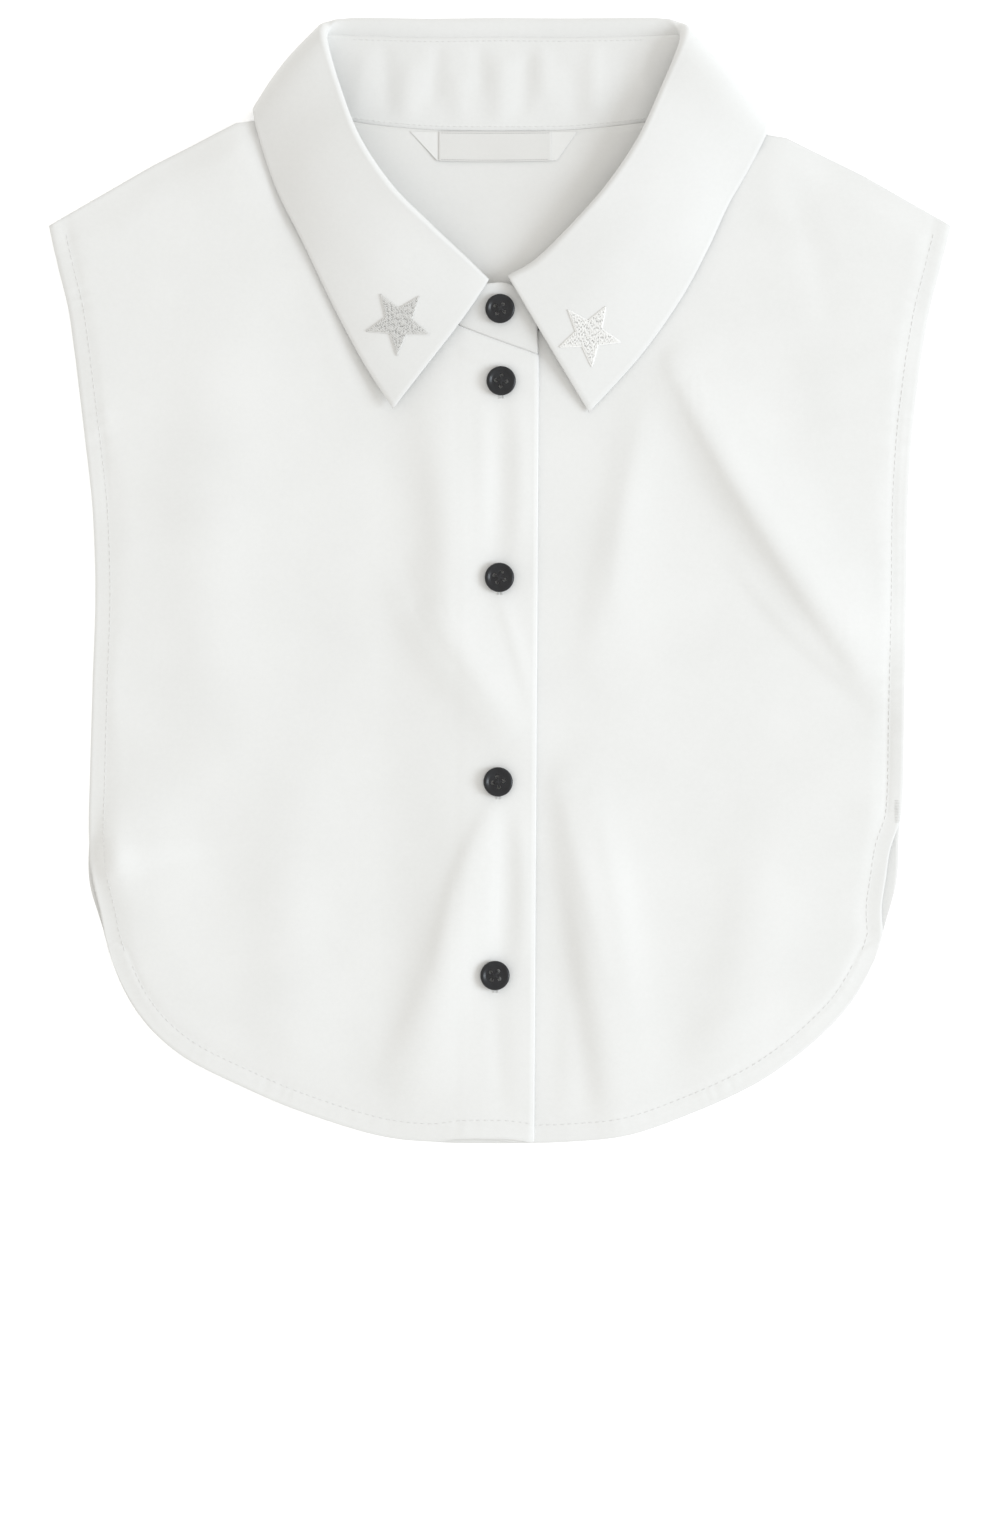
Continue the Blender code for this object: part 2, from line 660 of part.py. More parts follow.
def make_fall(sections, material):
    upper, lower = thicken(fall_middle(sections), FALL_WALL)
    return slab("collar_fall", upper, lower, material)


def height_on(grid, x, y):
    """Highest point of a grid's quads above a plan point."""
    best = None
    for i in range(grid.shape[0] - 1):
        for j in range(grid.shape[1] - 1):
            a, b, c, d = grid[i, j], grid[i + 1, j], grid[i + 1, j + 1], grid[i, j + 1]
            for p, q, r in ((a, b, c), (a, c, d)):
                area = (q[0] - p[0]) * (r[1] - p[1]) - (r[0] - p[0]) * (q[1] - p[1])
                if abs(area) < LEAST_AREA:
                    continue
                s = ((x - p[0]) * (r[1] - p[1]) - (r[0] - p[0]) * (y - p[1])) / area
                t = ((q[0] - p[0]) * (y - p[1]) - (x - p[0]) * (q[1] - p[1])) / area
                if s < -EDGE_SLACK or t < -EDGE_SLACK or s + t > 1 + EDGE_SLACK:
                    continue
                height = p[2] + s * (q[2] - p[2]) + t * (r[2] - p[2])
                if best is None or height > best:
                    best = height
    return best


def make_star(name, x, y, radius, turn, fall_face, material):
    """An embroidered star: a thin plate on the fall, one point turned down."""
    spokes = []
    for corner in range(STAR_CORNERS):
        angle = math.radians(turn - 90.0 + 360.0 * corner / STAR_CORNERS)
        reach = radius if corner % 2 == 0 else radius * STAR_INNER
        step_x = reach * math.cos(angle)
        step_y = reach * math.sin(angle)
        spokes.append([(x + ring * step_x, y + ring * step_y) for ring in STAR_RINGS])
    mesh_builder = bmesh.new()
    layers = []
    for raise_by in (GAP + TRIM_WALL, GAP):
        middle_z = height_on(fall_face, x, y) + raise_by
        middle = mesh_builder.verts.new((x * MM, y * MM, middle_z * MM))
        lines = []
        for spoke in spokes:
            points = [(px, py, height_on(fall_face, px, py) + raise_by) for px, py in spoke]
            lines.append([mesh_builder.verts.new((px * MM, py * MM, pz * MM)) for px, py, pz in points])
        layers.append((middle, lines))
    for middle, lines in layers:
        for k in range(STAR_CORNERS):
            here, after = lines[k], lines[(k + 1) % STAR_CORNERS]
            mesh_builder.faces.new((middle, here[0], after[0]))
            mesh_builder.faces.new((here[0], here[1], after[1], after[0]))
    high, low = layers[0][1], layers[1][1]
    for k in range(STAR_CORNERS):
        after = (k + 1) % STAR_CORNERS
        mesh_builder.faces.new((high[k][1], low[k][1], low[after][1], high[after][1]))
    bmesh.ops.recalc_face_normals(mesh_builder, faces=mesh_builder.faces)
    return finished(name, mesh_builder, material)


def make_label(material):
    """The woven label inside the back of the neck, its ends folded up to the seam on a slant."""
    down = np.linspace(LABEL_TOP_Y - SEAM_GAP, LABEL_FOOT_Y, LABEL_LINES)
    share = np.linspace(0.0, 1.0, LABEL_LINES)
    left = LABEL_TOP_X[0] + (LABEL_FOOT_X[0] - LABEL_TOP_X[0]) * share
    right = LABEL_TOP_X[1] + (LABEL_FOOT_X[1] - LABEL_TOP_X[1]) * share
    across = np.linspace(0.0, 1.0, LABEL_COLUMNS)[:, None]
    x = left[None, :] + (right - left)[None, :] * across
    y = np.repeat(down[None, :], len(across), axis=0)
    floor = BACK_NECK_LIFT * neck_lift(x, y, BACK_ZONE_FADE) + PANEL_WALL + GAP
    lower = np.dstack((x, y, floor))
    upper = np.dstack((x, y, floor + TRIM_WALL))
    return slab("neck_label", upper, lower, material)


def make_band(side, middle_y, fold_in, material):
    """A short elastic band folded between front and back, its fold towards the side."""
    edge = side_x(middle_y, side)
    inward = -math.copysign(1.0, edge)
    section = np.array(BAND_FOLD_SECTION)
    depth = np.append(fold_in + section[:, 0], BAND_REACH)
    half = np.append(section[:, 1], 1.0) * BAND_WALL / 2.0
    along = np.linspace(middle_y - BAND_LENGTH / 2.0, middle_y + BAND_LENGTH / 2.0, BAND_POINTS)
    x = np.repeat((edge + inward * depth)[:, None], len(along), axis=1)
    y = np.repeat(along[None, :], len(depth), axis=0)
    middle_z = PANEL_WALL + GAP + BAND_WALL / 2.0
    lower = np.dstack((x, y, np.repeat((middle_z - half)[:, None], len(along), axis=1)))
    upper = np.dstack((x, y, np.repeat((middle_z + half)[:, None], len(along), axis=1)))
    return slab("side_band_" + side, upper, lower, material)


def button_mesh(material):
    """A round button with a raised rim, a shallow dish and four holes through it."""
    builder = bmesh.new()
    rings = []
    for inwards, height in BUTTON_SECTION:
        distance = (BUTTON_WIDTH / 2.0 - inwards) * MM
        ring = []
        for side in range(BUTTON_SIDES):
            angle = 2.0 * math.pi * side / BUTTON_SIDES
            place = (distance * math.cos(angle), distance * math.sin(angle), height * MM)
            ring.append(builder.verts.new(place))
        rings.append(ring)
    for below, above in zip(rings, rings[1:]):
        for side in range(BUTTON_SIDES):
            after = (side + 1) % BUTTON_SIDES
            builder.faces.new((below[side], below[after], above[after], above[side]))
    builder.faces.new(rings[0])
    builder.faces.new(rings[-1])
    bmesh.ops.recalc_face_normals(builder, faces=builder.faces)
    blank = finished("button_blank", builder, material)

    cutter_builder = bmesh.new()
    hole_radius = BUTTON_HOLE / 2.0 * MM
    hole_out = BUTTON_HOLE_SPACING / 2.0 * MM
    for x_sign in (-1, 1):
        for y_sign in (-1, 1):
            made = bmesh.ops.create_cone(
                cutter_builder,
                cap_ends=True,
                segments=BUTTON_HOLE_SIDES,
                radius1=hole_radius,
                radius2=hole_radius,
                depth=3.0 * BUTTON_HEIGHT * MM,
            )
            shift = (x_sign * hole_out, y_sign * hole_out, 0.0)
            bmesh.ops.translate(cutter_builder, verts=made["verts"], vec=shift)
    cutter = finished("button_cutter", cutter_builder, material)
    cut = blank.modifiers.new("holes", "BOOLEAN")
    cut.operation = "DIFFERENCE"
    cut.object = cutter
    cut.solver = "EXACT"
    graph = bpy.context.evaluated_depsgraph_get()
    mesh = bpy.data.meshes.new_from_object(blank.evaluated_get(graph))
    bpy.data.objects.remove(blank)
    bpy.data.objects.remove(cutter)
    mesh.name = "button"
    mesh.shade_smooth()
    mesh.set_sharp_from_angle(angle=math.radians(35))
    return mesh


def placket_top(x, y):
    """Height of the over front's upper face."""
    x = np.array(x, dtype=float)
    y = np.array(y, dtype=float)
    return front_floor(x, y, True) + front_wall(x, True)


def make_buttons(sections, material):
    """Five buttons on the placket and the stand, each resting on the highest cloth under it."""
    mesh = button_mesh(material)
    upper, lower = thicken(stand_middle(sections), STAND_WALL)
    ends = len(STAND_LEFT_END) + FIRST_BUTTON_SECTIONS
    reach = (BUTTON_WIDTH / 2.0) * np.array((0.0, 0.5, 1.0))
    turns = np.linspace(0.0, 2.0 * math.pi, BUTTON_PROBES, endpoint=False)
    for number, (x, y) in enumerate(BUTTON_PLACES, start=1):
        around = [(x + r * math.cos(a), y + r * math.sin(a)) for r in reach for a in turns]
        if number == 1:
            faces = (upper[:ends], lower[:ends])
            heights = [height_on(face, px, py) for px, py in around for face in faces]
            top = max(height for height in heights if height is not None)
        else:
            top = float(max(placket_top([p[0] for p in around], [p[1] for p in around])))
        button = bpy.data.objects.new(f"button_{number}", mesh)
        button.location = (x * MM, y * MM, (top + GAP) * MM)
        bpy.context.scene.collection.objects.link(button)


def build():
    for old in list(bpy.data.objects):
        bpy.data.objects.remove(old)
    poplin = make_material("white_poplin", (0.86, 0.86, 0.84), 0.85)
    collar_poplin = make_material("collar_poplin", (0.88, 0.88, 0.86), 0.8)
    thread = make_material("star_thread", (0.80, 0.80, 0.79), 0.6)
    woven = make_material("label_satin", (0.83, 0.82, 0.78), 0.5)
    elastic = make_material("white_elastic", (0.78, 0.78, 0.77), 0.9)
    button = make_material("dark_button", (0.022, 0.023, 0.027), 0.35)
    sections = collar_sections()
    make_back_panel(sections, poplin)
    make_front(sections, "right", poplin)
    make_front(sections, "left", poplin)
    make_stand(sections, collar_poplin)
    make_fall(sections, collar_poplin)
    upper, lower = thicken(fall_middle(sections), FALL_WALL)
    face = max((upper, lower), key=lambda grid: grid[:, -1, 2].max())
    for name, x, y, radius, turn in STAR_ROWS:
        make_star(name, x, y, radius, turn, face, thread)
    make_label(woven)
    for side, middle_y, fold_in in BAND_ROWS:
        make_band(side, middle_y, fold_in, elastic)
    make_buttons(sections, button)


build()
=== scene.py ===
"""The dickey collar laid flat on a pale floor, seen from straight above.

Tables and sizes are in millimetres, and MM turns them into the scene's metres. X runs to the
viewer's right, Y towards the collar and Z up from the floor.
"""

import math

import bmesh
import bpy
import numpy as np
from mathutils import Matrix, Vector
from mathutils.bvhtree import BVHTree
from mathutils.kdtree import KDTree


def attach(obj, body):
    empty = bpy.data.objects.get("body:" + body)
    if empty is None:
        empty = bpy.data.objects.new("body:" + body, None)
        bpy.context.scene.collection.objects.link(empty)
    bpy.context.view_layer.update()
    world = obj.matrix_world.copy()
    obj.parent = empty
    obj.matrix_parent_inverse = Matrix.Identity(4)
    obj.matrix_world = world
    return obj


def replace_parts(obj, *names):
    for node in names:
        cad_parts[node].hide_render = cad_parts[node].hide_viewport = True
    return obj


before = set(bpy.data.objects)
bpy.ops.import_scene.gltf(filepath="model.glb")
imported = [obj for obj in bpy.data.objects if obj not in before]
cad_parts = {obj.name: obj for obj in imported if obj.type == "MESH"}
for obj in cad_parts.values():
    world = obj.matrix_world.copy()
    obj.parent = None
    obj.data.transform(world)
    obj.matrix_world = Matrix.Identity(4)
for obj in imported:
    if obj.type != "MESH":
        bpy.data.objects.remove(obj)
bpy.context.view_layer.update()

MM = 0.001

# Cloth thickness, and the least height of cloth over the floor
PANEL_CLOTH = 0.5
PLACKET_CLOTH = 1.0
COLLAR_CLOTH = 0.6
FLOOR_CLEARANCE = 0.02

# How far the edge of a sheet is rounded outwards, as a share of its wall
EDGE_BULGE = 0.45

# Heights of the layers, as in the solids: the wall of a panel, the lower faces of the fronts and of the
# lap, and the gaps at the neck seams
PANEL_WALL = 1.0
FRONT_Z = 1.3
OVERLAP_Z = 2.65
BAND_SEAM_GAP = 0.5
BACK_FLOOR = 0.08
FRONT_SEAM_GAP = 0.6
BACK_SEAM_GAP = 0.4

# Body
TIP_Y = 127.5
HEM_Y = -202.5
CORNER_Y = -136.6
PLACKET_TOP_X = 13.6
PLACKET_HEM_X = 11.9
PLACKET_WIDTH = 27.0
UNDER_LAP_X = -13.2
LAP_FOOT_RISE = 0.1

# How far the sides of the panels stand in from the body's outline: all over, and in a bump where a
# band shows, with its middle, half width and power
INSETS = {
    "left": (0.0, 0.9, -116.0, 11.0, 2),
    "right": (0.0, 3.4, -107.0, 17.0, 4),
    "back": (0.5, -1.3, -108.0, 14.0, 2),
}

# Neck zone, where both panels ride over the turned-under half of the collar
NECK_ZONE_X = 94.0
NECK_ZONE_Y = 153.0
BACK_ZONE_FADE = 18.0
FRONT_ZONE_FADE = 27.0
BACK_NECK_LIFT = 1.5
FRONT_NECK_LIFT = 2.1

# The front's upper face: where it climbs onto the lap, how it droops to its edges, and how folds and
# creases die out towards them
LAP_START_X = -44.0
LAP_CLIMB = 28.0
LAP_EASE = 0.4
LAP_EASE_WIDTH = 8.0
LAP_RISE = 0.1
FRONT_SINK = 0.15
EDGE_TOP = 1.15
EDGE_LAP_RISE = 0.95
DROOP_WIDTH = 11.0
DROOP_VARIES = 4.0
FOLD_LEFT_AT_EDGE = 0.45
FOLD_FADE = 22.0
CREASE_FADE = 6.0
RIPPLE_HEIGHT = 0.16
RIPPLE_FADE = 5.0
THIN_EDGE = 0.3
THIN_EDGE_WIDTH = 2.5
PLACKET_STEP = 2.0
PLACKET_RISE = 0.12

# How the hem lifts beside the placket: middle, half width, up the page and off the floor
HEM_LIFTS = {"left": (-5.0, 15.0, 2.0, 1.0), "right": (-14.0, 17.0, 1.7, 0.0)}
HEM_LIFT_FADE = 6.0

# Free edge of the right front, which curls up below this height
EDGE_CURL = 1.1
EDGE_CURL_WIDTH = 6.5
EDGE_CURL_TOP_Y = -12.0
EDGE_CURL_FADES = (25.0, 12.0)

# Back hem: it reaches a little above the fronts', and less so behind the lap
BACK_HEM_RISE = 0.35
BACK_HEM_DIP_X = -5.0
BACK_HEM_DIP_WIDTH = 24.0
BACK_RIPPLE = 0.06

# Buttons. The profile runs from the foot over the rim to the dish, as distance in and height.
BUTTON_WIDTH = 10.6
BUTTON_HEIGHT = 2.2
BUTTON_DISH = 0.7
BUTTON_HOLE = 1.5
BUTTON_HOLE_SPACING = 2.7
BUTTON_HOLE_SIDES = 24
BUTTON_SIDES = 96
BUTTON_CLEARANCE = 0.12
BUTTON_SHARP = 32.0
BUTTON_PROFILE = (
    (1.0, 0.0), (0.45, 0.28), (0.12, 0.8), (0.0, 1.3), (0.06, 1.7), (0.25, 2.0), (0.55, 2.16),
    (0.85, 2.2), (1.15, 2.14), (1.4, 1.98), (1.7, 1.7), (2.1, 1.55), (2.6, 1.5),
)
BUTTON_TURNS = (12.0, 38.0, 21.0, 55.0, 8.0)
BUTTON_PLACES = ((0.0, 97.4), (0.4, 71.5), (-0.2, 0.9), (-0.7, -72.5), (-1.8, -142.0))
BUTTON_THREAD_RADIUS = 0.17
BUTTON_THREAD_ASIDE = 0.22
BUTTON_THREAD_ARCH = 0.3
BUTTON_THREAD_PLUNGE = 0.7

# Buttonholes: where each stands from its button, and how its stitches lie
HOLE_SHIFT = (0.2, -0.6)
HOLE_LENGTH = 11.2
HOLE_PITCH = 0.34
HOLE_HALF_WIDTH = 1.25
HOLE_STITCH = ((0.0, 0.02), (0.4, 0.12), (0.75, 0.10), (1.0, -0.12))
HOLE_DRIFT = 0.02

# Side bands: side, height and how far in the fold lies
BAND_LENGTH = 21.0
BAND_REACH = 22.0
BAND_WALL = 0.9
BAND_SHEET = 0.42
BAND_ROWS = (("left", -99.6, 5.0), ("right", -84.0, 8.6))
BAND_LIFT_FADE = 24.0
BAND_CLEARANCE = 1.0
BAND_RISE = 0.55
BAND_FLOOR = 0.66
BAND_RIB = 0.09
BAND_RIB_PITCH = 1.25
BAND_BOW = 0.45
BAND_TURN_STEPS = 13
BAND_REACH_STEPS = 16
BAND_ALONG_STEPS = 130

# Neck label: its outline, and how it hangs and lies. Each shape has its name, the X of its ends at the
# top and at the foot, its height over the back and its columns.
LABEL_TOP_Y = 161.3
LABEL_FOOT_Y = 151.2
LABEL_ROWS = 26
LABEL_SHAPES = (
    ("neck_label_cloth", (-22.0, 18.4), (-22.0, 18.4), 0.55, 70),
    ("neck_label_fold_left", (-32.4, -21.0), (-22.6, -21.0), 0.3, 24),
    ("neck_label_fold_right", (17.4, 27.7), (17.4, 20.4), 0.3, 24),
)
LABEL_BOW = 0.7
LABEL_TOP_BOW = 0.4
LABEL_MIDDLE_X = -2.0
LABEL_HALF = 30.0
LABEL_WALL = 0.25
LABEL_FOOT_RISE = 0.30
LABEL_WAVE = 0.06
LABEL_WAVE_LENGTH = 4.1
LABEL_GROOVE = (0.10, 0.92, 0.03)
# Dark lines along the label's top and foot, drawn as thin threads: painted shadow under the stand's edge at
# the top, a stitched line with painted shadow at the foot.
LABEL_SHADE_LINE_ROWS = (1, -2)
LABEL_SHADE_LINE_STITCH = (0.95, 0.5, 0.03)
LABEL_SHADE_LINE_RADIUS = 0.09

# Sewn edges: how far in the stitches run, width and depth of their groove, place, width and height of
# the puckers, their spacing and seed, and the height of the turned cloth. The stitches leave out a
# few samples at both ends of the edge.
HEM_SEAM = (6.4, 0.8, 0.16, 4.6, 3.4, 0.10, 4.6, 31, 0.16)
ARMHOLE_SEAM = (5.4, 0.9, 0.22, 5.0, 3.6, 0.24, 6.8, 41, 0.2)
HEM_STITCHED = slice(3, -8)
ARMHOLE_STITCHED = slice(6, -2)
ARMHOLE_END_Y = -87.5
ARMHOLE_END_FADE = 8.0
LEFT_ARMHOLE_LOW = 0.25
LEFT_ARMHOLE_LOW_Y = 10.0
LEFT_ARMHOLE_FADE = 50.0

# Stitches: pitch, length and how deep they sink into the body and into the stand, and the arch of each
BODY_STITCH = (2.5, 1.9, 0.02)
STAND_STITCH = (2.1, 1.6, 0.03)
STITCH_RADIUS = 0.14
STITCH_DRIFT = 0.04
STITCH_START = 0.4
THREAD_END = 0.55
STITCH_ARCH = ((0.0, -0.16), (0.15, 0.02), (0.5, 0.07), (0.85, 0.02), (1.0, -0.16))

# Bar-tack that holds the right band: its middle, length and pitch, where its height is taken, and the
# arch of its stitches
TACK_Y = -83.0
TACK_LENGTH = 7.9
TACK_PITCH = 0.55
TACK_GROUND_IN = 1.2
TACK_STITCH = ((-2.4, -0.1), (-1.2, 0.04), (-0.1, -0.1), (0.6, -0.7))

# How finely the cloth is drawn
SAMPLES_PER_ROW = 12
END_STEPS = 28
STAND_STEPS = 24
ROLL_STEPS = 14
FALL_STEPS = 30
FOLD_SAMPLES = 49
FRONT_NECK_COLUMNS = 84
FRONT_SHOULDER_COLUMNS = 46
FRONT_ROWS = 230
BACK_NECK_COLUMNS = 70
BACK_SHOULDER_COLUMNS = 26
BACK_ROWS = 130
HEM_SAMPLES = 200
FRONT_FOOT_SAMPLES = 900
EDGE_SAMPLES = 700
SEAM_SAMPLES = 500
RELAX_ROUNDS = 500

# Rows of the collar tables between which the panels' necks run
NECK_POINT_ROW = 7
BACK_NECK_ROWS = 10

# How the columns of a front spread along its hem: mostly as they do along its top
FOOT_BLEND = 0.8
FOOT_POWER = 0.9

# Creases of the front with the placket: a bowed line through three points, its height, and its width
# to the left and to the right
CREASE_ROWS_LEFT = (
    (-0.7, 64, 0.6, 36, -1.2, 6, -0.7, 4, 4.5),
    (6.5, 62, 9, 40, 6, 8, 0.4, 3.5, 3.5),
    (-7, 62, -5.5, 40, -6.5, 14, 0.25, 3, 4),
    (-13, 81.5, -1.8, 77.4, 9.4, 77.2, 0.5, 1.6, 2.2),
    (-24, -14, -12, -30, 4, -52, 0.3, 3, 5),
    (-34, 6, -28, -16, -12, -36, -0.5, 5, 5),
    (0, -6, 6, -24, 11, -44, 0.45, 2.2, 3),
    (1.4, -84, 2.4, -110, 0.4, -140, -0.9, 4, 4.5),
    (-2, -82, -17, -104, -22, -138, 0.9, 3.2, 6),
    (-20, -128, -26, -152, -40, -178, 0.6, 5, 7),
    (7, -86, 10, -112, 8, -136, 0.5, 3, 3),
    (-1.5, -150, -1, -168, 1, -190, -0.45, 3.5, 4),
    (-91.8, 164, -84, 148, -76, 131, -0.8, 3.2, 5),
    (-70, 122, -62, 92, -50, 66, 0.5, 6, 7),
    (-146, 112, -128, 104, -112, 104, 0.4, 5, 6),
    (-138, 40, -120, 30, -108, 34, 0.3, 5, 5),
    (-130, -60, -112, -70, -98, -66, 0.35, 6, 6),
    (-118, -150, -96, -150, -78, -162, 0.35, 5, 6),
    (-136.4, -91, -137.2, -99, -135.2, -107, 2.7, 6.5, 20),
)

# Creases of the front with the buttons
CREASE_ROWS_RIGHT = (
    (62, 78, 84, 30, 128, -30, 1.2, 3.5, 7),
    (86, 6, 104, -20, 134, -42, 0.7, 3.5, 6),
    (52, 60, 44, 22, 41, -6, 0.5, 4, 6),
    (22, -74, 30, -104, 41, -146, 0.4, 3.5, 7),
    (34, -80, 44, -108, 47, -150, 0.4, 4, 5),
    (24, -150, 26, -172, 24, -192, 0.4, 4, 5),
    (98, 132, 116, 124, 136, 124, 0.5, 4, 6),
    (102, 148, 114, 120, 118, 92, -0.4, 5, 6),
    (146, 84, 128, 74, 112, 76, 0.4, 5, 6),
    (142, 10, 124, 2, 108, 6, 0.3, 5, 5),
    (136, -96, 118, -104, 100, -98, 0.4, 6, 6),
    (104, -152, 88, -152, 70, -166, 0.35, 5, 6),
)

# Hollows and bumps of the fronts and of the back: middle, half widths, turn and height
FRONT_DENTS = (
    (-155.5, 124, 2.2, 4.5, 15, -0.35),
    (154, 122, 2.6, 4, -20, -0.3),
    (-142.5, 60, 3, 5, 20, 0.25),
    (141, 44, 3, 5, -15, 0.25),
    (-138.4, -99.5, 6.2, 8.4, 4, 1.3),
    (132, -84, 6, 5, 10, 0.35),
    (-60, -30, 22, 14, 30, 0.3),
    (74, -70, 20, 15, -35, -0.3),
)
BACK_DENTS = (
    (-42, 138, 18, 20, 10, 1.1),
    (28, 134, 18, 20, -15, 1.1),
    (0, 152, 26, 5, 0, 0.3),
)

# Upright puckers of the stand: place along X, width, height, lean, and reach up the stand
STAND_PUCKERS = (
    (-50, 3.6, 0.6, 3, 0, 0.9),
    (-41, 2.6, -0.53, -2, 0.1, 1),
    (-33, 4, 0.77, 2.5, 0, 0.82),
    (-23.5, 2.8, -0.63, 3, 0.2, 1),
    (-15, 3.4, 0.53, -2, 0, 0.7),
    (-7, 2.4, -0.53, -1.5, 0.3, 1),
    (0.5, 3.6, 0.7, 1, 0, 0.86),
    (9, 2.6, -0.56, 2, 0.1, 0.9),
    (16, 3, 0.6, -2.5, 0.25, 1),
    (26, 3.6, -0.49, -3, 0, 0.8),
    (34, 2.8, 0.63, -1, 0.05, 1),
    (45, 3.8, -0.53, 2, 0, 0.9),
    (52, 2.8, 0.46, 1.5, 0.2, 1),
)
PUCKER_ZONE_X = 58.0
PUCKER_ZONE_Y = 150.0
PUCKER_FADE = 0.22
STAND_TOP_TUCK = 0.25

# Where the stand's two lines of stitches show: the seam's and the one under its top
STAND_SEAM_SHARE = 0.035
STAND_SEAM_END_X = 62.0
STAND_SEAM_END_Y = 150.0
STAND_TOP_END_X = 54.0
STAND_TOP_END_Y = 180.0

# Hollows and bumps of the fall, pressed in use, its waves, and how far it settles on the fronts
FALL_DENTS = (
    (-66, 140, 9, 16, 25, 0.3),
    (-56, 112, 7, 14, 30, -0.25),
    (72, 140, 8, 16, -25, 0.3),
    (56, 112, 8, 12, -30, -0.25),
)
FALL_WAVE = 0.22
FALL_WAVE_TOP_Y = 195.0
FALL_WAVE_FADE = 14.0
FALL_LOOSE_STEPS = 6.0
FALL_PULL = 0.8
FALL_REST = 0.8
FALL_REST_Z = 2.5

# Materials: name, dark and light colour, roughness, sheen, and for cloth the pitch and depth of the
# weave and the depth of the grain
CLOTHS = (
    ("white_poplin", (0.779, 0.779, 0.769), (0.815, 0.815, 0.807), 0.85, 0.05, 0.34, 0.05, 0.03),
    # The back's poplin is the fronts' cloth set darker: painted shade inside the neck and under the lifted
    # hem.
    ("shaded_back_poplin", (0.748, 0.746, 0.733), (0.782, 0.780, 0.768), 0.85, 0.05, 0.34, 0.05, 0.03),
    # The collar's poplin is its own cloth, set a little darker than the fronts' as painted shade of the
    # neck.
    ("collar_poplin", (0.755, 0.755, 0.745), (0.790, 0.790, 0.782), 0.80, 0.05, 0.34, 0.05, 0.03),
    ("label_satin", (0.71, 0.705, 0.69), (0.745, 0.74, 0.725), 0.45, 0.1, 0.5, 0.08, 0.02),
    ("label_satin_back", (0.765, 0.763, 0.75), (0.80, 0.798, 0.788), 0.6, 0.1, 0.5, 0.05, 0.02),
    ("white_elastic", (0.66, 0.66, 0.65), (0.73, 0.73, 0.72), 0.9, 0.1, 0.6, 0.10, 0.05),
)
THREADS = (
    # The label's dark lines: painted shadow along its top, and a stitched line darkened by painted shadow
    # along its foot.
    ("label_shade_lines", (0.22, 0.22, 0.22), (0.34, 0.34, 0.33), 0.6, 0.1),
    ("sewing_thread", (0.70, 0.70, 0.69), (0.78, 0.78, 0.77), 0.6, 0.1),
    # The two stars are one white thread in two colours: painted sheen, darker on the left star and lighter
    # on the right.
    ("star_thread_left", (0.66, 0.655, 0.64), (0.74, 0.735, 0.72), 0.42, 0.2),
    ("star_thread_right", (0.86, 0.855, 0.84), (0.93, 0.925, 0.91), 0.38, 0.2),
    ("button_thread", (0.012, 0.012, 0.014), (0.03, 0.03, 0.034), 0.7, 0.1),
)

# Light and camera, in metres
FLOOR_SIZE = 8.0
FLOOR_GLOW = 0.3
ROOM_STRENGTH = 0.88
ROOM_COLOUR = (1.0, 0.988, 0.955)
LAMP_COLOUR = (0.84, 0.92, 1.0)
LAMP_PLACE = (2.59, -0.18, 1.50)
LAMP_AIM = (0.0, -0.02, 0.0)
LAMP_SIZE = 1.4
LAMP_POWER = 45.0
CAMERA_LENS = 131.0
CAMERA_HEIGHT = 2.0
CAMERA_Y = -0.0659

# Body outline from the shoulder tip down to the hem's corner
SIDE_COLUMNS = ("y", "left", "right")
SIDE_ROWS = (
    (127.5, -162.2, 162.2),
    (115.4, -159.5, 159.1),
    (97.4, -155.2, 154.6),
    (79.4, -152.6, 151.4),
    (52.4, -149.4, 148.2),
    (25.4, -146.5, 146.6),
    (-5, -145.5, 146.2),
    (-37, -146.5, 145.5),
    (-73.6, -147.5, 144.9),
    (-91.6, -147.8, 143.7),
    (-109.6, -146.7, 141.7),
    (-127.6, -142.6, 138),
    (-136.6, -139.7, 134.8),
)

# Hem outline from the centre out to the corner
HEM_COLUMNS = ("left_x", "left_y", "right_x", "right_y")
HEM_ROWS = (
    (0, -202.5, 0, -202.5),
    (-24, -202, 24, -202),
    (-45, -199.4, 47, -199.4),
    (-72.4, -190.8, 71.3, -190.8),
    (-94, -181.6, 91.1, -181.6),
    (-112, -172.6, 104.8, -172.6),
    (-123.5, -163.6, 115.6, -163.6),
    (-131, -154.6, 124.2, -154.6),
    (-136.1, -145.6, 130.3, -145.6),
    (-139.7, -136.6, 134.8, -136.6),
)

# Shoulder edge from the neck point out to the tip
SHOULDER_COLUMNS = ("left_x", "left_y", "right_x", "right_y")
SHOULDER_ROWS = (
    (-88.4, 165, 96.2, 159.8),
    (-95, 164.2, 103, 159),
    (-125, 149, 130, 145.8),
    (-162.2, 127.5, 162.2, 127.5),
)

# Folds of the fronts, with the columns of the creases: steep on the left, softer on the right
FOLD_ROWS = (
    (66, 72, 92, 18, 143, -40, 3.4, 9, 16),
    (50, 58, 42, 8, 35, -27, 1.6, 8, 13),
    (26, -76, 35, -140, 44, -198, 3.2, 8, 17),
    (-24, 58, -16, 12, -19, -12, 2.2, 9, 11),
    (-30, -8, -16, -30, 6, -56, 2.4, 10, 12),
    (-5, -92, -20, -140, -34, -188, 2.6, 11, 12),
    (-96, 96, -112, 20, -100, -60, 1.5, 16, 18),
    (-70, -70, -84, -120, -70, -176, 1.4, 14, 14),
    (96, -90, 92, -130, 76, -178, 1.6, 12, 14),
)

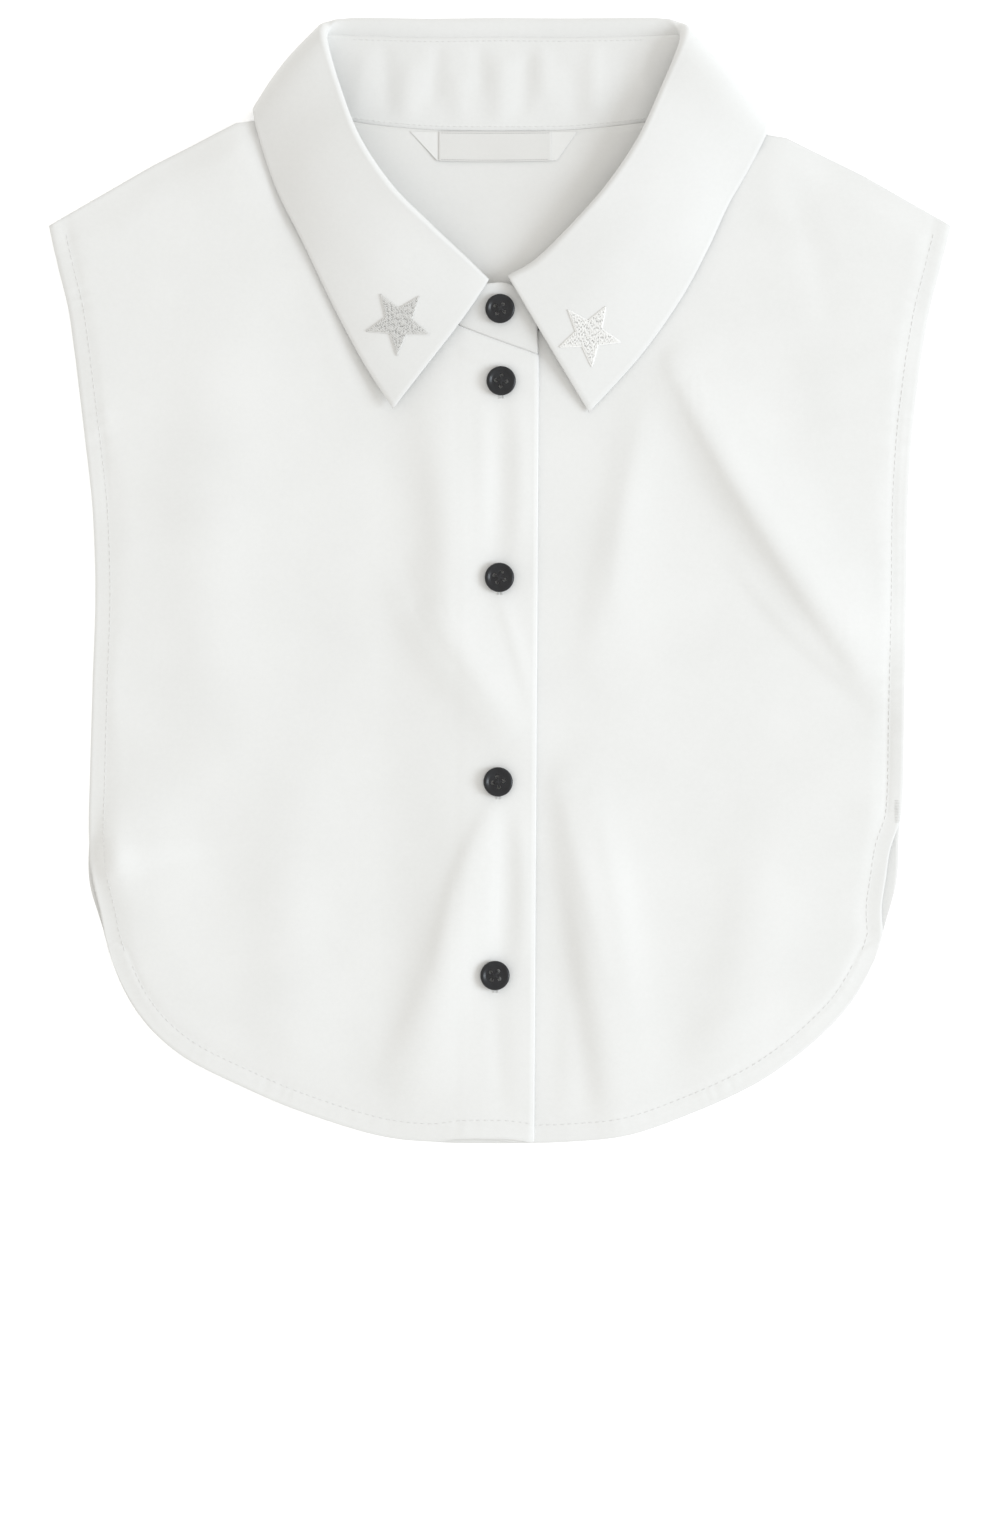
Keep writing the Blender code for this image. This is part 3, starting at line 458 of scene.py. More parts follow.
# Collar, from the middle of the back to the front end. The seam joins it to the body, the crest is
# where it rolls over, and the edge is the free edge of the fall. Each row has these three points, then
# how much of the fall lies inside the crest, the middle radius of the fold there, how far the fall
# swells out, and how far the stand sags.
COLLAR_BACK_ROW = (0, 161.8, 2, 0, 201.9, 3.6, 0, 157.5, 0.55, 7, 1.5, 0, 0.6)
COLLAR_LEFT_ROWS = (
    COLLAR_BACK_ROW,
    (-25, 162.2, 2, -25, 201.6, 3.6, -28, 157.7, 0.55, 7, 1.5, 0, 0.6),
    (-50, 164.7, 2, -48, 201.9, 3.7, -56, 159.5, 0.55, 6.8, 1.5, 0, 0.4),
    (-66, 168.7, 2, -55.6, 201.5, 4, -74, 163, 0.60, 6.4, 1.5, 0.1, 0),
    (-75.5, 171.4, 2.05, -59.5, 200.5, 5.2, -86.8, 167.8, 0.60, 6, 1.9, 0.9, 0),
    (-79.2, 172, 3.2, -61.2, 196.4, 6.8, -88.6, 169.4, 3.10, 5.6, 2, 2, 0),
    (-79.6, 168.4, 4.4, -61, 190.6, 8.8, -88, 165, 5.60, 5.2, 1.9, 1.8, 0),
    (-78.4, 160, 4.3, -57.2, 177, 11.2, -84.8, 153.5, 5.40, 4.8, 1.5, 1.6, 0),
    (-74.5, 149, 3.4, -50, 158.5, 13.6, -79.5, 139, 4.60, 4.4, 1.5, 1.6, 0.5),
    (-64, 134.5, 2.6, -38.6, 141.5, 12.6, -70.5, 121, 4.60, 4, 1.5, 1.5, 0.9),
    (-48, 118.5, 2.3, -25.2, 128, 10.2, -59.5, 98, 4.80, 3.4, 1.4, 1.4, 0.7),
    (-30, 103.5, 2.6, -13, 116.5, 7.2, -48.5, 77.5, 5.60, 2.8, 1.2, 1.2, 0.2),
    (-14, 91.6, 3.3, -4.2, 107.9, 4.9, -38.4, 61.8, 6.40, 2.2, 1, 1, 0),
)
COLLAR_RIGHT_ROWS = (
    COLLAR_BACK_ROW,
    (25, 162.2, 2, 25, 201.7, 3.6, 28, 157.7, 0.55, 7, 1.5, 0, 0.6),
    (50, 164.7, 2, 50, 201.9, 3.7, 58, 158.8, 0.55, 6.8, 1.5, 0, 0.4),
    (68, 168, 2, 58, 201.6, 4, 80, 160, 0.60, 6.4, 1.5, 0.1, 0),
    (77.5, 170, 2.05, 61.9, 200.5, 5.2, 94.2, 162.8, 0.60, 6, 1.9, 0.9, 0),
    (81, 170.2, 3.2, 63.9, 196.4, 6.6, 96.4, 164.2, 3.10, 5.6, 2, 2, 0),
    (81.4, 166, 4.4, 63.2, 190, 8.2, 95.2, 159.4, 5.60, 5.2, 1.9, 1.8, 0),
    (79.8, 157, 4.3, 57.8, 176.6, 9.2, 88.8, 147, 5.30, 4.8, 1.5, 1.6, 0),
    (74.5, 145.5, 3.4, 49.4, 158.5, 10.6, 81.5, 134.2, 4.50, 4.4, 1.5, 1.5, 0.5),
    (63, 131, 2.6, 38.4, 142, 9.8, 74.5, 119, 4.40, 4, 1.5, 1.4, 0.8),
    (47, 115, 2.1, 25.6, 127.6, 7.4, 65, 101.5, 4.30, 3.6, 1.6, 1.3, 0.3),
    (29.5, 101, 1.85, 12.6, 115, 3.5, 50.5, 81, 4.20, 3.4, 2.4, 1.2, 0),
    (14, 90.6, 1.85, 3, 109.2, 2.6, 32, 60.6, 4.20, 3.2, 2.4, 0.8, 0),
)

# Front ends of the stand past the fall: a point of the seam and one of the stand's own free edge
STAND_LEFT_END = (
    (-6, 88.5, 3.3, 0.5, 106.4, 4.2),
    (3, 85.2, 3.3, 5.6, 105.2, 4.2),
    (10, 82.7, 3.3, 10.4, 101.8, 4.2),
    (13.4, 81.4, 3.3, 13.2, 97, 3.8),
)
STAND_RIGHT_END = (
    (6, 87.4, 1.85, -0.5, 105.8, 1.9),
    (-3, 84.6, 1.85, -5.8, 104.8, 1.85),
    (-10, 82.6, 1.85, -10.8, 102, 1.85),
    (-12.9, 81.8, 1.85, -13, 97.5, 1.85),
)

# Stars: side, middle, radius, turn of the point that looks down, and slant of the threads
STAR_ROWS = (
    ("left", -36.4, 92.3, 11.9, -3.0, 58.0),
    ("right", 32.0, 88.0, 11.6, 5.0, 74.0),
)
STAR_POINTS = 5
STAR_INNER = 0.42
STAR_THREAD_PITCH = 0.46
STAR_THREAD_RADIUS = 0.25
STAR_FIRST_STITCH = (0.7, 3.2)
STAR_STITCH = (2.0, 3.4)
STAR_STITCH_POINTS = 6
STAR_OVERSHOOT = 0.15
STAR_SHORTEST = 0.3
STAR_ADVANCE = 0.97
STAR_DRIFT = 0.03
STAR_PAD = 0.16
STAR_PUFF = 0.22
STAR_PUFF_FADE = 1.1
STAR_PUFF_RIM = 0.2
STAR_ARCH = 0.03
STAR_CORD_HEIGHT = 0.20
STAR_CORD_POINTS = 9


def smoothstep(value):
    """Rises smoothly from 0 to 1 as value does."""
    value = np.clip(value, 0.0, 1.0)
    return value * value * (3.0 - 2.0 * value)


def bump(value, middle, width, power=2):
    """1 at the middle, and falling off smoothly to both sides."""
    return np.exp(-(((value - middle) / width) ** power))


def hermite(first, second, slope_first, slope_second, share):
    """A point on the smooth curve between two points with the given slopes."""
    return (
        (2 * share**3 - 3 * share**2 + 1) * first
        + (share**3 - 2 * share**2 + share) * slope_first
        + (3 * share**2 - 2 * share**3) * second
        + (share**3 - share**2) * slope_second
    )


def through_rows(rows, places):
    """Reads a table at fractional row numbers, on a smooth curve through its rows."""
    rows = np.array(rows, dtype=float)
    last = len(rows) - 1
    result = []
    for place in places:
        start = min(int(place), last - 1)
        before = rows[max(start - 1, 0)]
        first = rows[start]
        second = rows[start + 1]
        after = rows[min(start + 2, last)]
        if start == 0:
            before = 2.0 * first - second
        if start + 2 > last:
            after = 2.0 * second - first
        slopes = ((second - before) / 2.0, (after - first) / 2.0)
        result.append(hermite(first, second, *slopes, place - start))
    return np.array(result)


def distances_along(points):
    """How far along a line each of its points lies."""
    steps = np.linalg.norm(np.diff(points, axis=0), axis=1)
    return np.concatenate(([0.0], np.cumsum(steps)))


def points_at(points, along, wanted):
    """Points of a line at the wanted distances along it."""
    return np.stack([np.interp(wanted, along, column) for column in points.T], axis=1)


def even_steps(points, count):
    """Points at even distances along a line of points."""
    points = np.array(points, dtype=float)
    along = distances_along(points)
    return points_at(points, along, np.linspace(0.0, along[-1], count))


def unit(vectors):
    """The same directions, each of length one."""
    return vectors / np.linalg.norm(vectors, axis=-1, keepdims=True)


def collar_sections():
    """What the collar tables say at each sampled section, from the left front end to the right."""
    last = len(COLLAR_LEFT_ROWS) - 1
    half = np.linspace(0.0, last, last * SAMPLES_PER_ROW + 1)
    left = through_rows(COLLAR_LEFT_ROWS, half)[::-1]
    right = through_rows(COLLAR_RIGHT_ROWS, half)[1:]
    rows = np.concatenate((left, right))
    return {
        "seam": rows[:, 0:3],
        "crest": rows[:, 3:6],
        "edge": rows[:, 6:9],
        "band": rows[:, 9:10],
        "roll": rows[:, 10:11],
        "swell": rows[:, 11:12],
        "sag": rows[:, 12:13],
    }


def section_frames(sections):
    """At each section, the direction up the stand and the direction out of its outer face."""
    middle = (sections["seam"] + sections["crest"]) / 2.0
    along = unit(np.gradient(middle, axis=0))
    up = unit(sections["crest"] - sections["seam"])
    out = unit(np.cross(up, along))
    return up, out


def fall_middle(sections):
    """The fall's middle surface: up the inside from the band, over the crest and out to the edge."""
    up, out = section_frames(sections)
    crest = sections["crest"]
    roll = sections["roll"]
    lines = [crest - up * (sections["band"] - BAND_SEAM_GAP)]
    for angle in np.linspace(0.0, math.pi, ROLL_STEPS + 1):
        lines.append(crest + up * roll * (math.sin(angle) - 1.0) + out * roll * (1.0 - math.cos(angle)))
    start = lines[-1]
    reach = sections["edge"] - start
    pull = -up * FALL_PULL * np.linalg.norm(reach, axis=1, keepdims=True)
    for step in range(1, FALL_STEPS + 1):
        share = step / FALL_STEPS
        point = hermite(start, sections["edge"], pull, reach, share)
        lines.append(point + out * sections["swell"] * math.sin(math.pi * share))
    return np.stack(lines, axis=1)


def fall_surface(sections):
    """The fall's middle surface, with the slight waves of pressed cloth, settled on the fronts."""
    middle = fall_middle(sections)
    steps = np.arange(middle.shape[1]) - ROLL_STEPS
    x = middle[:, :, 0]
    y = middle[:, :, 1]
    loose = smoothstep((steps - 1.0) / FALL_LOOSE_STEPS)[None, :]
    wave = FALL_WAVE * ripple(x, y, 71, 12, 16.0, 60.0) + dents(x, y, FALL_DENTS)
    normal = unit(np.cross(np.gradient(middle, axis=0), np.gradient(middle, axis=1)))
    normal = normal * np.where(normal[:, :, 2:3] < 0.0, -1.0, 1.0)
    front = smoothstep((FALL_WAVE_TOP_Y - y) / FALL_WAVE_FADE) * (middle[:, :, 2] > FALL_REST_Z)
    middle = middle + normal * (wave * loose * front)[:, :, None]
    down_fall = np.clip(steps / FALL_STEPS, 0.0, 1.0)[None, :]
    middle[:, :, 2] -= FALL_REST * down_fall**1.5 * smoothstep(middle[:, :, 2] - FALL_REST_Z)
    return middle


def fold_height(x, y, rows):
    """How far folds or creases raise the cloth at each point."""
    total = np.zeros_like(x)
    for x0, y0, x1, y1, x2, y2, height, left, right in rows:
        best = np.full_like(x, np.inf)
        lift = np.zeros_like(x)
        for share in np.linspace(0.0, 1.0, FOLD_SAMPLES):
            crest_x = (1 - share) ** 2 * x0 + 2 * share * (1 - share) * x1 + share**2 * x2
            crest_y = (1 - share) ** 2 * y0 + 2 * share * (1 - share) * y1 + share**2 * y2
            distance = np.hypot(x - crest_x, y - crest_y)
            width = left + (right - left) * smoothstep(0.5 + (x - crest_x) / (left + right))
            taper = math.sin(math.pi * (0.08 + 0.84 * share)) ** 0.7
            nearer = distance < best
            best = np.where(nearer, distance, best)
            lift = np.where(nearer, taper * height * bump(distance, 0.0, width), lift)
        total = total + lift
    return total


def neck_lift(x, y, fade):
    """1 where the panels ride over the turned-under collar, fading to 0 away from the neck."""
    aside = np.maximum(np.abs(x) - NECK_ZONE_X, 0.0)
    below = np.maximum(NECK_ZONE_Y - y, 0.0)
    return 1.0 - smoothstep(np.hypot(aside, below) / fade)


def side_x(y, side):
    """X of the body's outline at a height, on the left or right side."""
    rows = np.array(SIDE_ROWS)
    column = SIDE_COLUMNS.index(side)
    return float(np.interp(-y, -rows[:, 0], rows[:, column]))


def band_lift(x, y):
    """How far each side band raises the front above it, a soft rise over the thin elastic."""
    total = np.zeros_like(x)
    for side, middle, _ in BAND_ROWS:
        edge = side_x(middle, side)
        beyond_x = np.maximum(np.abs(x - edge) - BAND_REACH - BAND_CLEARANCE, 0.0)
        beyond_y = np.maximum(np.abs(y - middle) - BAND_LENGTH / 2.0 - BAND_CLEARANCE, 0.0)
        fade = 1.0 - smoothstep(np.hypot(beyond_x, beyond_y) / BAND_LIFT_FADE)
        total = np.maximum(total, BAND_RISE * fade)
    return total


def coons(top, foot, inner, outer):
    """A grid of plan points that meets four edge lines."""
    u = np.linspace(0.0, 1.0, len(top))[:, None, None]
    v = np.linspace(0.0, 1.0, len(inner))[None, :, None]
    top = top[:, None, :]
    foot = foot[:, None, :]
    upper_corners = (1 - u) * (1 - v) * top[0] + u * (1 - v) * top[-1]
    corners = upper_corners + (1 - u) * v * foot[0] + u * v * foot[-1]
    return (1 - v) * top + v * foot + (1 - u) * inner[None] + u * outer[None] - corners


def relaxed(plan, rounds):
    """The same grid with its inner points evened out between their neighbours."""
    for _ in range(rounds):
        beside = plan[:-2, 1:-1] + plan[2:, 1:-1]
        above = plan[1:-1, :-2] + plan[1:-1, 2:]
        plan[1:-1, 1:-1] = (beside + above) / 4.0
    return plan


def side_line(side, rows, inset):
    """Points down one side of the body, from the shoulder tip to the hem's corner."""
    all_over, at_band, middle_y, half_width, power = inset
    heights = np.linspace(TIP_Y, CORNER_Y, rows)
    table = np.array(SIDE_ROWS)
    places = np.interp(-heights, -table[:, 0], np.arange(len(table)))
    x = through_rows(table, places)[:, SIDE_COLUMNS.index(side)]
    moved = all_over + at_band * bump(heights, middle_y, half_width, power)
    return np.stack((x - np.sign(x) * moved, heights), axis=1)


def hem_line(side, start_x, count):
    """Points along the hem, from start_x to the corner on one side."""
    first = HEM_COLUMNS.index(side + "_x")
    table = np.array(HEM_ROWS)[:, first : first + 2]
    across = start_x * table[-1, 0] < 0.0
    if across:
        table = np.concatenate(([[start_x, HEM_Y + LAP_FOOT_RISE]], table))
    curve = through_rows(table, np.linspace(0, len(table) - 1, HEM_SAMPLES))
    if not across:
        beyond = np.abs(curve[:, 0]) > abs(start_x)
        start_y = np.interp(abs(start_x), np.abs(curve[:, 0]), curve[:, 1])
        curve = np.concatenate(([[start_x, start_y]], curve[beyond]))
    return even_steps(curve, count)


def shoulder_line(side, neck_point, count):
    """Points from just past the neck point to the shoulder tip."""
    first = SHOULDER_COLUMNS.index(side + "_x")
    table = np.array(SHOULDER_ROWS)[:, first : first + 2]
    table = np.concatenate(([neck_point], table))
    return even_steps(table, count + 1)[1:]


def neckline(sections, gap):
    """Plan points of a panel's neck edge, just outside the collar seam, left end to right end."""
    seam, top = stand_lines(sections)
    return seam[:, :2] - unit((top - seam)[:, :2]) * gap


def front_plan(sections, side):
    """Plan grid of one front, from its centre edge out to its armhole and side."""
    neck = neckline(sections, FRONT_SEAM_GAP)
    lap_top, lap_foot = PLACKET_TOP_X, PLACKET_HEM_X
    if side == "right":
        neck = neck[::-1]
        lap_top, lap_foot = UNDER_LAP_X, UNDER_LAP_X
    neck = neck[: END_STEPS + SAMPLES_PER_ROW * NECK_POINT_ROW + 1]
    neck = even_steps(neck[: int(np.argmax(np.abs(neck[:, 0]))) + 1], FRONT_NECK_COLUMNS)
    neck[0, 0] = lap_top
    top = np.concatenate((neck, shoulder_line(side, neck[-1], FRONT_SHOULDER_COLUMNS)))
    outer = side_line(side, FRONT_ROWS, INSETS[side])
    hem = hem_line(side, lap_foot, FRONT_FOOT_SAMPLES)
    reach = np.abs(top[:, 0] - top[0, 0])
    even = np.linspace(0.0, 1.0, len(top))
    share = (FOOT_BLEND * reach / reach[-1] + (1.0 - FOOT_BLEND) * even) ** FOOT_POWER
    along = distances_along(hem)
    foot = points_at(hem, along, share * along[-1])
    inner = np.linspace(top[0], foot[0], FRONT_ROWS)
    foot[-1] = outer[-1]
    outer[0] = top[-1]
    return coons(top, foot, inner, outer)


def line_tree(line):
    """A search tree over the points of a plan line, to measure how far cloth is from its edge."""
    tree = KDTree(len(line))
    for number, (x, y) in enumerate(line):
        tree.insert((x, y, 0.0), number)
    tree.balance()
    return tree


def distance_to(line, x, y):
    """Distance from each plan point to a line, and how far along the line the nearest point is."""
    dense = even_steps(line, EDGE_SAMPLES)
    spacing = np.linalg.norm(dense[1] - dense[0])
    tree = line_tree(dense)
    found = [tree.find((px, py, 0.0)) for px, py in zip(x.ravel(), y.ravel())]
    far = np.array([distance for _, _, distance in found])
    along = np.array([nearest * spacing for _, nearest, _ in found])
    return far.reshape(x.shape), along.reshape(x.shape)


def ripple(x, y, seed, count, shortest, longest):
    """Low waves in all directions, between -1 and 1, the same on each run."""
    dice = np.random.default_rng(seed)
    total = np.zeros_like(x)
    for _ in range(count):
        length = dice.uniform(shortest, longest)
        angle = dice.uniform(0.0, math.pi)
        start = dice.uniform(0.0, 2.0 * math.pi)
        ahead = x * math.cos(angle) + y * math.sin(angle)
        total = total + np.sin(2.0 * math.pi * ahead / length + start)
    return total / count


def uneven_wave(along, length, seed):
    """A wave along a seam whose spacing and depth keep changing."""
    dice = np.random.default_rng(seed)
    phase = 2.0 * math.pi * along / length
    for factor in (0.13, 0.29, 0.47):
        phase = phase + 1.3 * np.sin(2.0 * math.pi * along * factor / length + dice.uniform(0.0, 6.0))
    depth = 0.62 + 0.38 * np.sin(2.0 * math.pi * along / (7.3 * length) + dice.uniform(0.0, 6.0))
    return np.sin(phase) * depth


def dents(x, y, rows):
    """Small soft hollows and bumps: middle, half widths along X and Y, turn and height."""
    total = np.zeros_like(x)
    for middle_x, middle_y, wide, deep, turn, height in rows:
        angle = math.radians(turn)
        across = (x - middle_x) * math.cos(angle) + (y - middle_y) * math.sin(angle)
        along = (y - middle_y) * math.cos(angle) - (x - middle_x) * math.sin(angle)
        total = total + height * np.exp(-((across / wide) ** 2) - (along / deep) ** 2)
    return total


def linked(name, data):
    """A new object of the scene."""
    made = bpy.data.objects.new(name, data)
    bpy.context.scene.collection.objects.link(made)
    return made


def new_mesh(name, points, faces):
    """A mesh from points in millimetres."""
    mesh = bpy.data.meshes.new(name)
    mesh.from_pydata((np.array(points) * MM).tolist(), [], faces)
    return mesh


def placed(name, mesh, material):
    """Adds a mesh to the scene as a piece of the collar that rides with it."""
    builder = bmesh.new()
    builder.from_mesh(mesh)
    bmesh.ops.recalc_face_normals(builder, faces=builder.faces)
    builder.to_mesh(mesh)
    builder.free()
    mesh.materials.append(material)
    mesh.shade_smooth()
    piece = linked(name, mesh)
    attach(piece, "root")
    return piece


def grid_faces(numbers):
    """The four-sided faces of a grid of point numbers."""
    corners = (numbers[:-1, :-1], numbers[1:, :-1], numbers[1:, 1:], numbers[:-1, 1:])
    return np.stack([corner.ravel() for corner in corners], axis=1)


def slab(name, upper, lower, material, slot_name):
    """One closed piece of cloth between two grids, its edge rounded outwards."""
    columns, rows = upper.shape[:2]
    size = columns * rows
    numbers = np.arange(size).reshape(columns, rows)
    top_faces = grid_faces(numbers)
    low_faces = top_faces[:, [0, 3, 2, 1]] + size
    rim = [(i, 0) for i in range(columns - 1)]
    rim += [(columns - 1, j) for j in range(rows - 1)]
    rim += [(i, rows - 1) for i in range(columns - 1, 0, -1)]
    rim += [(0, j) for j in range(rows - 1, 0, -1)]
    middle = (upper + lower) / 2.0
    edge_points = []
    for i, j in rim:
        inner_i = min(max(i, 1), columns - 2)
        inner_j = min(max(j, 1), rows - 2)
        outward = middle[i, j] - middle[inner_i, inner_j]
        wall = np.linalg.norm(upper[i, j] - lower[i, j])
        edge_points.append(middle[i, j] + outward / np.linalg.norm(outward) * wall * EDGE_BULGE)
    points = np.concatenate((upper.reshape(-1, 3), lower.reshape(-1, 3), np.array(edge_points)))
    rim_numbers = np.array([numbers[i, j] for i, j in rim])
    edge_numbers = np.arange(len(rim)) + 2 * size
    after_rim = np.roll(rim_numbers, -1)
    after_edge = np.roll(edge_numbers, -1)
    rim_high = np.stack((rim_numbers, edge_numbers, after_edge, after_rim), axis=1)
    rim_low = np.stack((edge_numbers, rim_numbers + size, after_rim + size, after_edge), axis=1)
    faces = np.concatenate((top_faces, low_faces, rim_high, rim_low))
    return placed(name, new_mesh(name, points, faces.tolist()), material)


def stand_lines(sections):
    """Seam line and top line of the stand, with its two front ends."""
    up, _ = section_frames(sections)
    top = sections["crest"] - up * sections["band"]
    rows = np.concatenate((sections["seam"], top), axis=1)
    steps = np.linspace(0.0, len(STAND_LEFT_END), END_STEPS + 1)[1:]
    left = through_rows(np.concatenate((rows[:1], np.array(STAND_LEFT_END))), steps)[::-1]
    right = through_rows(np.concatenate((rows[-1:], np.array(STAND_RIGHT_END))), steps)
    rows = np.concatenate((left, rows, right))
    return rows[:, 0:3], rows[:, 3:6]


def stand_surface(sections):
    """The stand's middle surface, with soft upright puckers on the back of the neck."""
    seam, top = stand_lines(sections)
    top = top + unit(top - seam) * STAND_TOP_TUCK
    along = unit(np.gradient((seam + top) / 2.0, axis=0))
    out = unit(np.cross(unit(top - seam), along))
    ends = np.zeros((END_STEPS, 1))
    sag = np.concatenate((ends, sections["sag"], ends))
    middle_x = (seam[:, 0] + top[:, 0]) / 2.0
    at_back = bump(middle_x, 0.0, PUCKER_ZONE_X, 4) * (seam[:, 1] > PUCKER_ZONE_Y)
    lines = []
    for share in np.linspace(0.0, 1.0, STAND_STEPS + 1):
        pucker = np.zeros_like(middle_x)
        for place, width, height, lean, low, high in STAND_PUCKERS:
            reach = smoothstep((share - low) / PUCKER_FADE) * smoothstep((high - share) / PUCKER_FADE)
            pucker = pucker + height * bump(middle_x, place + lean * (share - 0.5), width) * reach
        bow = sag * math.sin(math.pi * share) + (pucker * at_back)[:, None]
        lines.append(seam + (top - seam) * share - out * bow)
    return np.stack(lines, axis=1)


def thicken(middle, wall):
    """Upper and lower grids on both sides of a middle grid, none below the floor."""
    normal = unit(np.cross(np.gradient(middle, axis=0), np.gradient(middle, axis=1)))
    faces = (middle + normal * wall / 2.0, middle - normal * wall / 2.0)
    for face in faces:
        face[:, :, 2] = np.maximum(face[:, :, 2], FLOOR_CLEARANCE)
    return faces


def sheet_faces(x, y, high, wall):
    """Upper and lower grids of a sheet that lies over the floor."""
    return np.dstack((x, y, high)), np.dstack((x, y, np.maximum(high - wall, FLOOR_CLEARANCE)))


def back_height(x, y):
    """Height of the back's lower face, without its finest ripple."""
    lift = BACK_NECK_LIFT * neck_lift(x, y, BACK_ZONE_FADE)
    return BACK_FLOOR + lift + dents(x, y, BACK_DENTS)


def back_sheet(sections):
    """Both faces of the back, its edge a little outside the fronts' where it peeps out."""
    first = END_STEPS + SAMPLES_PER_ROW * NECK_POINT_ROW
    last = first + SAMPLES_PER_ROW * BACK_NECK_ROWS
    neck = neckline(sections, BACK_SEAM_GAP)[first : last + 1]
    middle = even_steps(neck, BACK_NECK_COLUMNS)
    left = shoulder_line("left", middle[0], BACK_SHOULDER_COLUMNS)[::-1]
    right = shoulder_line("right", middle[-1], BACK_SHOULDER_COLUMNS)
    top = np.concatenate((left, middle, right))
    inner, outer = [side_line(side, BACK_ROWS, INSETS["back"]) for side in ("left", "right")]
    left_hem, right_hem = [hem_line(side, 0.0, HEM_SAMPLES) for side in ("left", "right")]
    foot = even_steps(np.concatenate((left_hem[::-1], right_hem[1:])), len(top))
    foot[:, 1] += BACK_HEM_RISE * np.sin(np.linspace(0.0, math.pi, len(top))) ** 0.5
    foot[:, 1] -= BACK_HEM_RISE * bump(foot[:, 0], BACK_HEM_DIP_X, BACK_HEM_DIP_WIDTH, 4)
    inner[0], outer[0] = top[0], top[-1]
    foot[0], foot[-1] = inner[-1], outer[-1]
    plan = coons(top, foot, inner, outer)
    x, y = plan[:, :, 0], plan[:, :, 1]
    high = back_height(x, y) + PANEL_CLOTH + BACK_RIPPLE * ripple(x, y, 4, 9, 24.0, 70.0)
    return sheet_faces(x, y, high, PANEL_CLOTH)


def sewn_edge(distance, along, seam):
    """Height of the groove, puckers and turned cloth of a sewn edge."""
    stitch_in, groove_width, groove, pucker_in, pucker_width, pucker, spacing, seed, turning = seam
    puckers = bump(distance, pucker_in, pucker_width) * uneven_wave(along, spacing, seed)
    turned = smoothstep((stitch_in - distance) / groove_width)
    return pucker * puckers - groove * bump(distance, stitch_in, groove_width) + turning * turned


def armhole_sewing(y, over):
    """How strongly the armhole's seam shows at each height: not below the bands, faint low on the left."""
    sewn = smoothstep((y - ARMHOLE_END_Y) / ARMHOLE_END_FADE)
    if over:
        above = smoothstep((y - LEFT_ARMHOLE_LOW_Y) / LEFT_ARMHOLE_FADE)
        sewn = sewn * (LEFT_ARMHOLE_LOW + (1.0 - LEFT_ARMHOLE_LOW) * above)
    return sewn


def front_level(x, y, edge, over):
    """Upper face of a front without its folds: flat, and drooping to its edges."""
    lap = smoothstep((x - LAP_START_X) / LAP_CLIMB) if over else np.zeros_like(x)
    flat = FRONT_Z + PANEL_WALL - FRONT_SINK + lap * (OVERLAP_Z - FRONT_Z + LAP_RISE)
    foot = EDGE_TOP + lap * EDGE_LAP_RISE
    spread = DROOP_WIDTH + DROOP_VARIES * ripple(x, y, 11, 6, 40.0, 110.0)
    level = foot + (flat - foot) * smoothstep(edge / spread)
    return level + band_lift(x, y) + FRONT_NECK_LIFT * neck_lift(x, y, FRONT_ZONE_FADE)


def front_sheet(sections, side):
    """Both faces of a front, with its creases, its drooping edge and its puckered seams."""
    over = side == "left"
    plan = relaxed(front_plan(sections, side), RELAX_ROUNDS)
    x, y = plan[:, :, 0], plan[:, :, 1]
    from_shoulder, _ = distance_to(plan[FRONT_NECK_COLUMNS - 1 :, 0], x, y)
    from_armhole, along_armhole = distance_to(plan[-1], x, y)
    from_hem, along_hem = distance_to(plan[:, -1], x, y)
    edge = np.minimum(np.minimum(from_armhole, from_hem), from_shoulder)

    folds = fold_height(x, y, FOLD_ROWS)
    if not over:
        folds = folds * (1.0 - LAP_EASE * smoothstep((PLACKET_TOP_X - x) / LAP_EASE_WIDTH))
    creases = fold_height(x, y, CREASE_ROWS_LEFT if over else CREASE_ROWS_RIGHT)
    high = front_level(x, y, edge, over)
    high = high + folds * (FOLD_LEFT_AT_EDGE + (1.0 - FOLD_LEFT_AT_EDGE) * smoothstep(edge / FOLD_FADE))
    high = high + creases * smoothstep(edge / CREASE_FADE)
    fine = ripple(x, y, 21 if over else 22, 16, 14.0, 60.0)
    high = high + RIPPLE_HEIGHT * fine * smoothstep(edge / RIPPLE_FADE)
    high = high + sewn_edge(from_hem, along_hem, HEM_SEAM)
    high = high + sewn_edge(from_armhole, along_armhole, ARMHOLE_SEAM) * armhole_sewing(y, over)

    wall = PANEL_CLOTH * (THIN_EDGE + (1.0 - THIN_EDGE) * smoothstep(edge / THIN_EDGE_WIDTH))
    if over:
        placket_edge = PLACKET_TOP_X - PLACKET_WIDTH - PLACKET_STEP
        inside = smoothstep((x - placket_edge) / PLACKET_STEP)
        wall = wall + (PLACKET_CLOTH - PANEL_CLOTH) * inside
        high = high + PLACKET_RISE * inside
    else:
        top_fade, foot_fade = EDGE_CURL_FADES
        curl = smoothstep((EDGE_CURL_TOP_Y - y) / top_fade) * smoothstep((y - CORNER_Y) / foot_fade)
        high = high + EDGE_CURL * curl * smoothstep(1.0 - from_armhole / EDGE_CURL_WIDTH)
    middle_x, half_width, up_page, off_floor = HEM_LIFTS[side]
    near_lap = bump(x, middle_x, half_width, 4) * np.exp(-(from_hem / HEM_LIFT_FADE))
    high = high + dents(x, y, FRONT_DENTS) + off_floor * near_lap
    return sheet_faces(x, y + up_page * near_lap, high, wall)


def top_tree(*grids):
    """A ray tree over faces of the cloth, to lay stitches, buttons and stars on."""
    points = []
    faces = []
    for grid in grids:
        columns, rows = grid.shape[:2]
        numbers = np.arange(columns * rows).reshape(columns, rows) + len(points)
        points.extend(grid.reshape(-1, 3).tolist())
        faces.extend(grid_faces(numbers).tolist())
    return BVHTree.FromPolygons(points, faces)


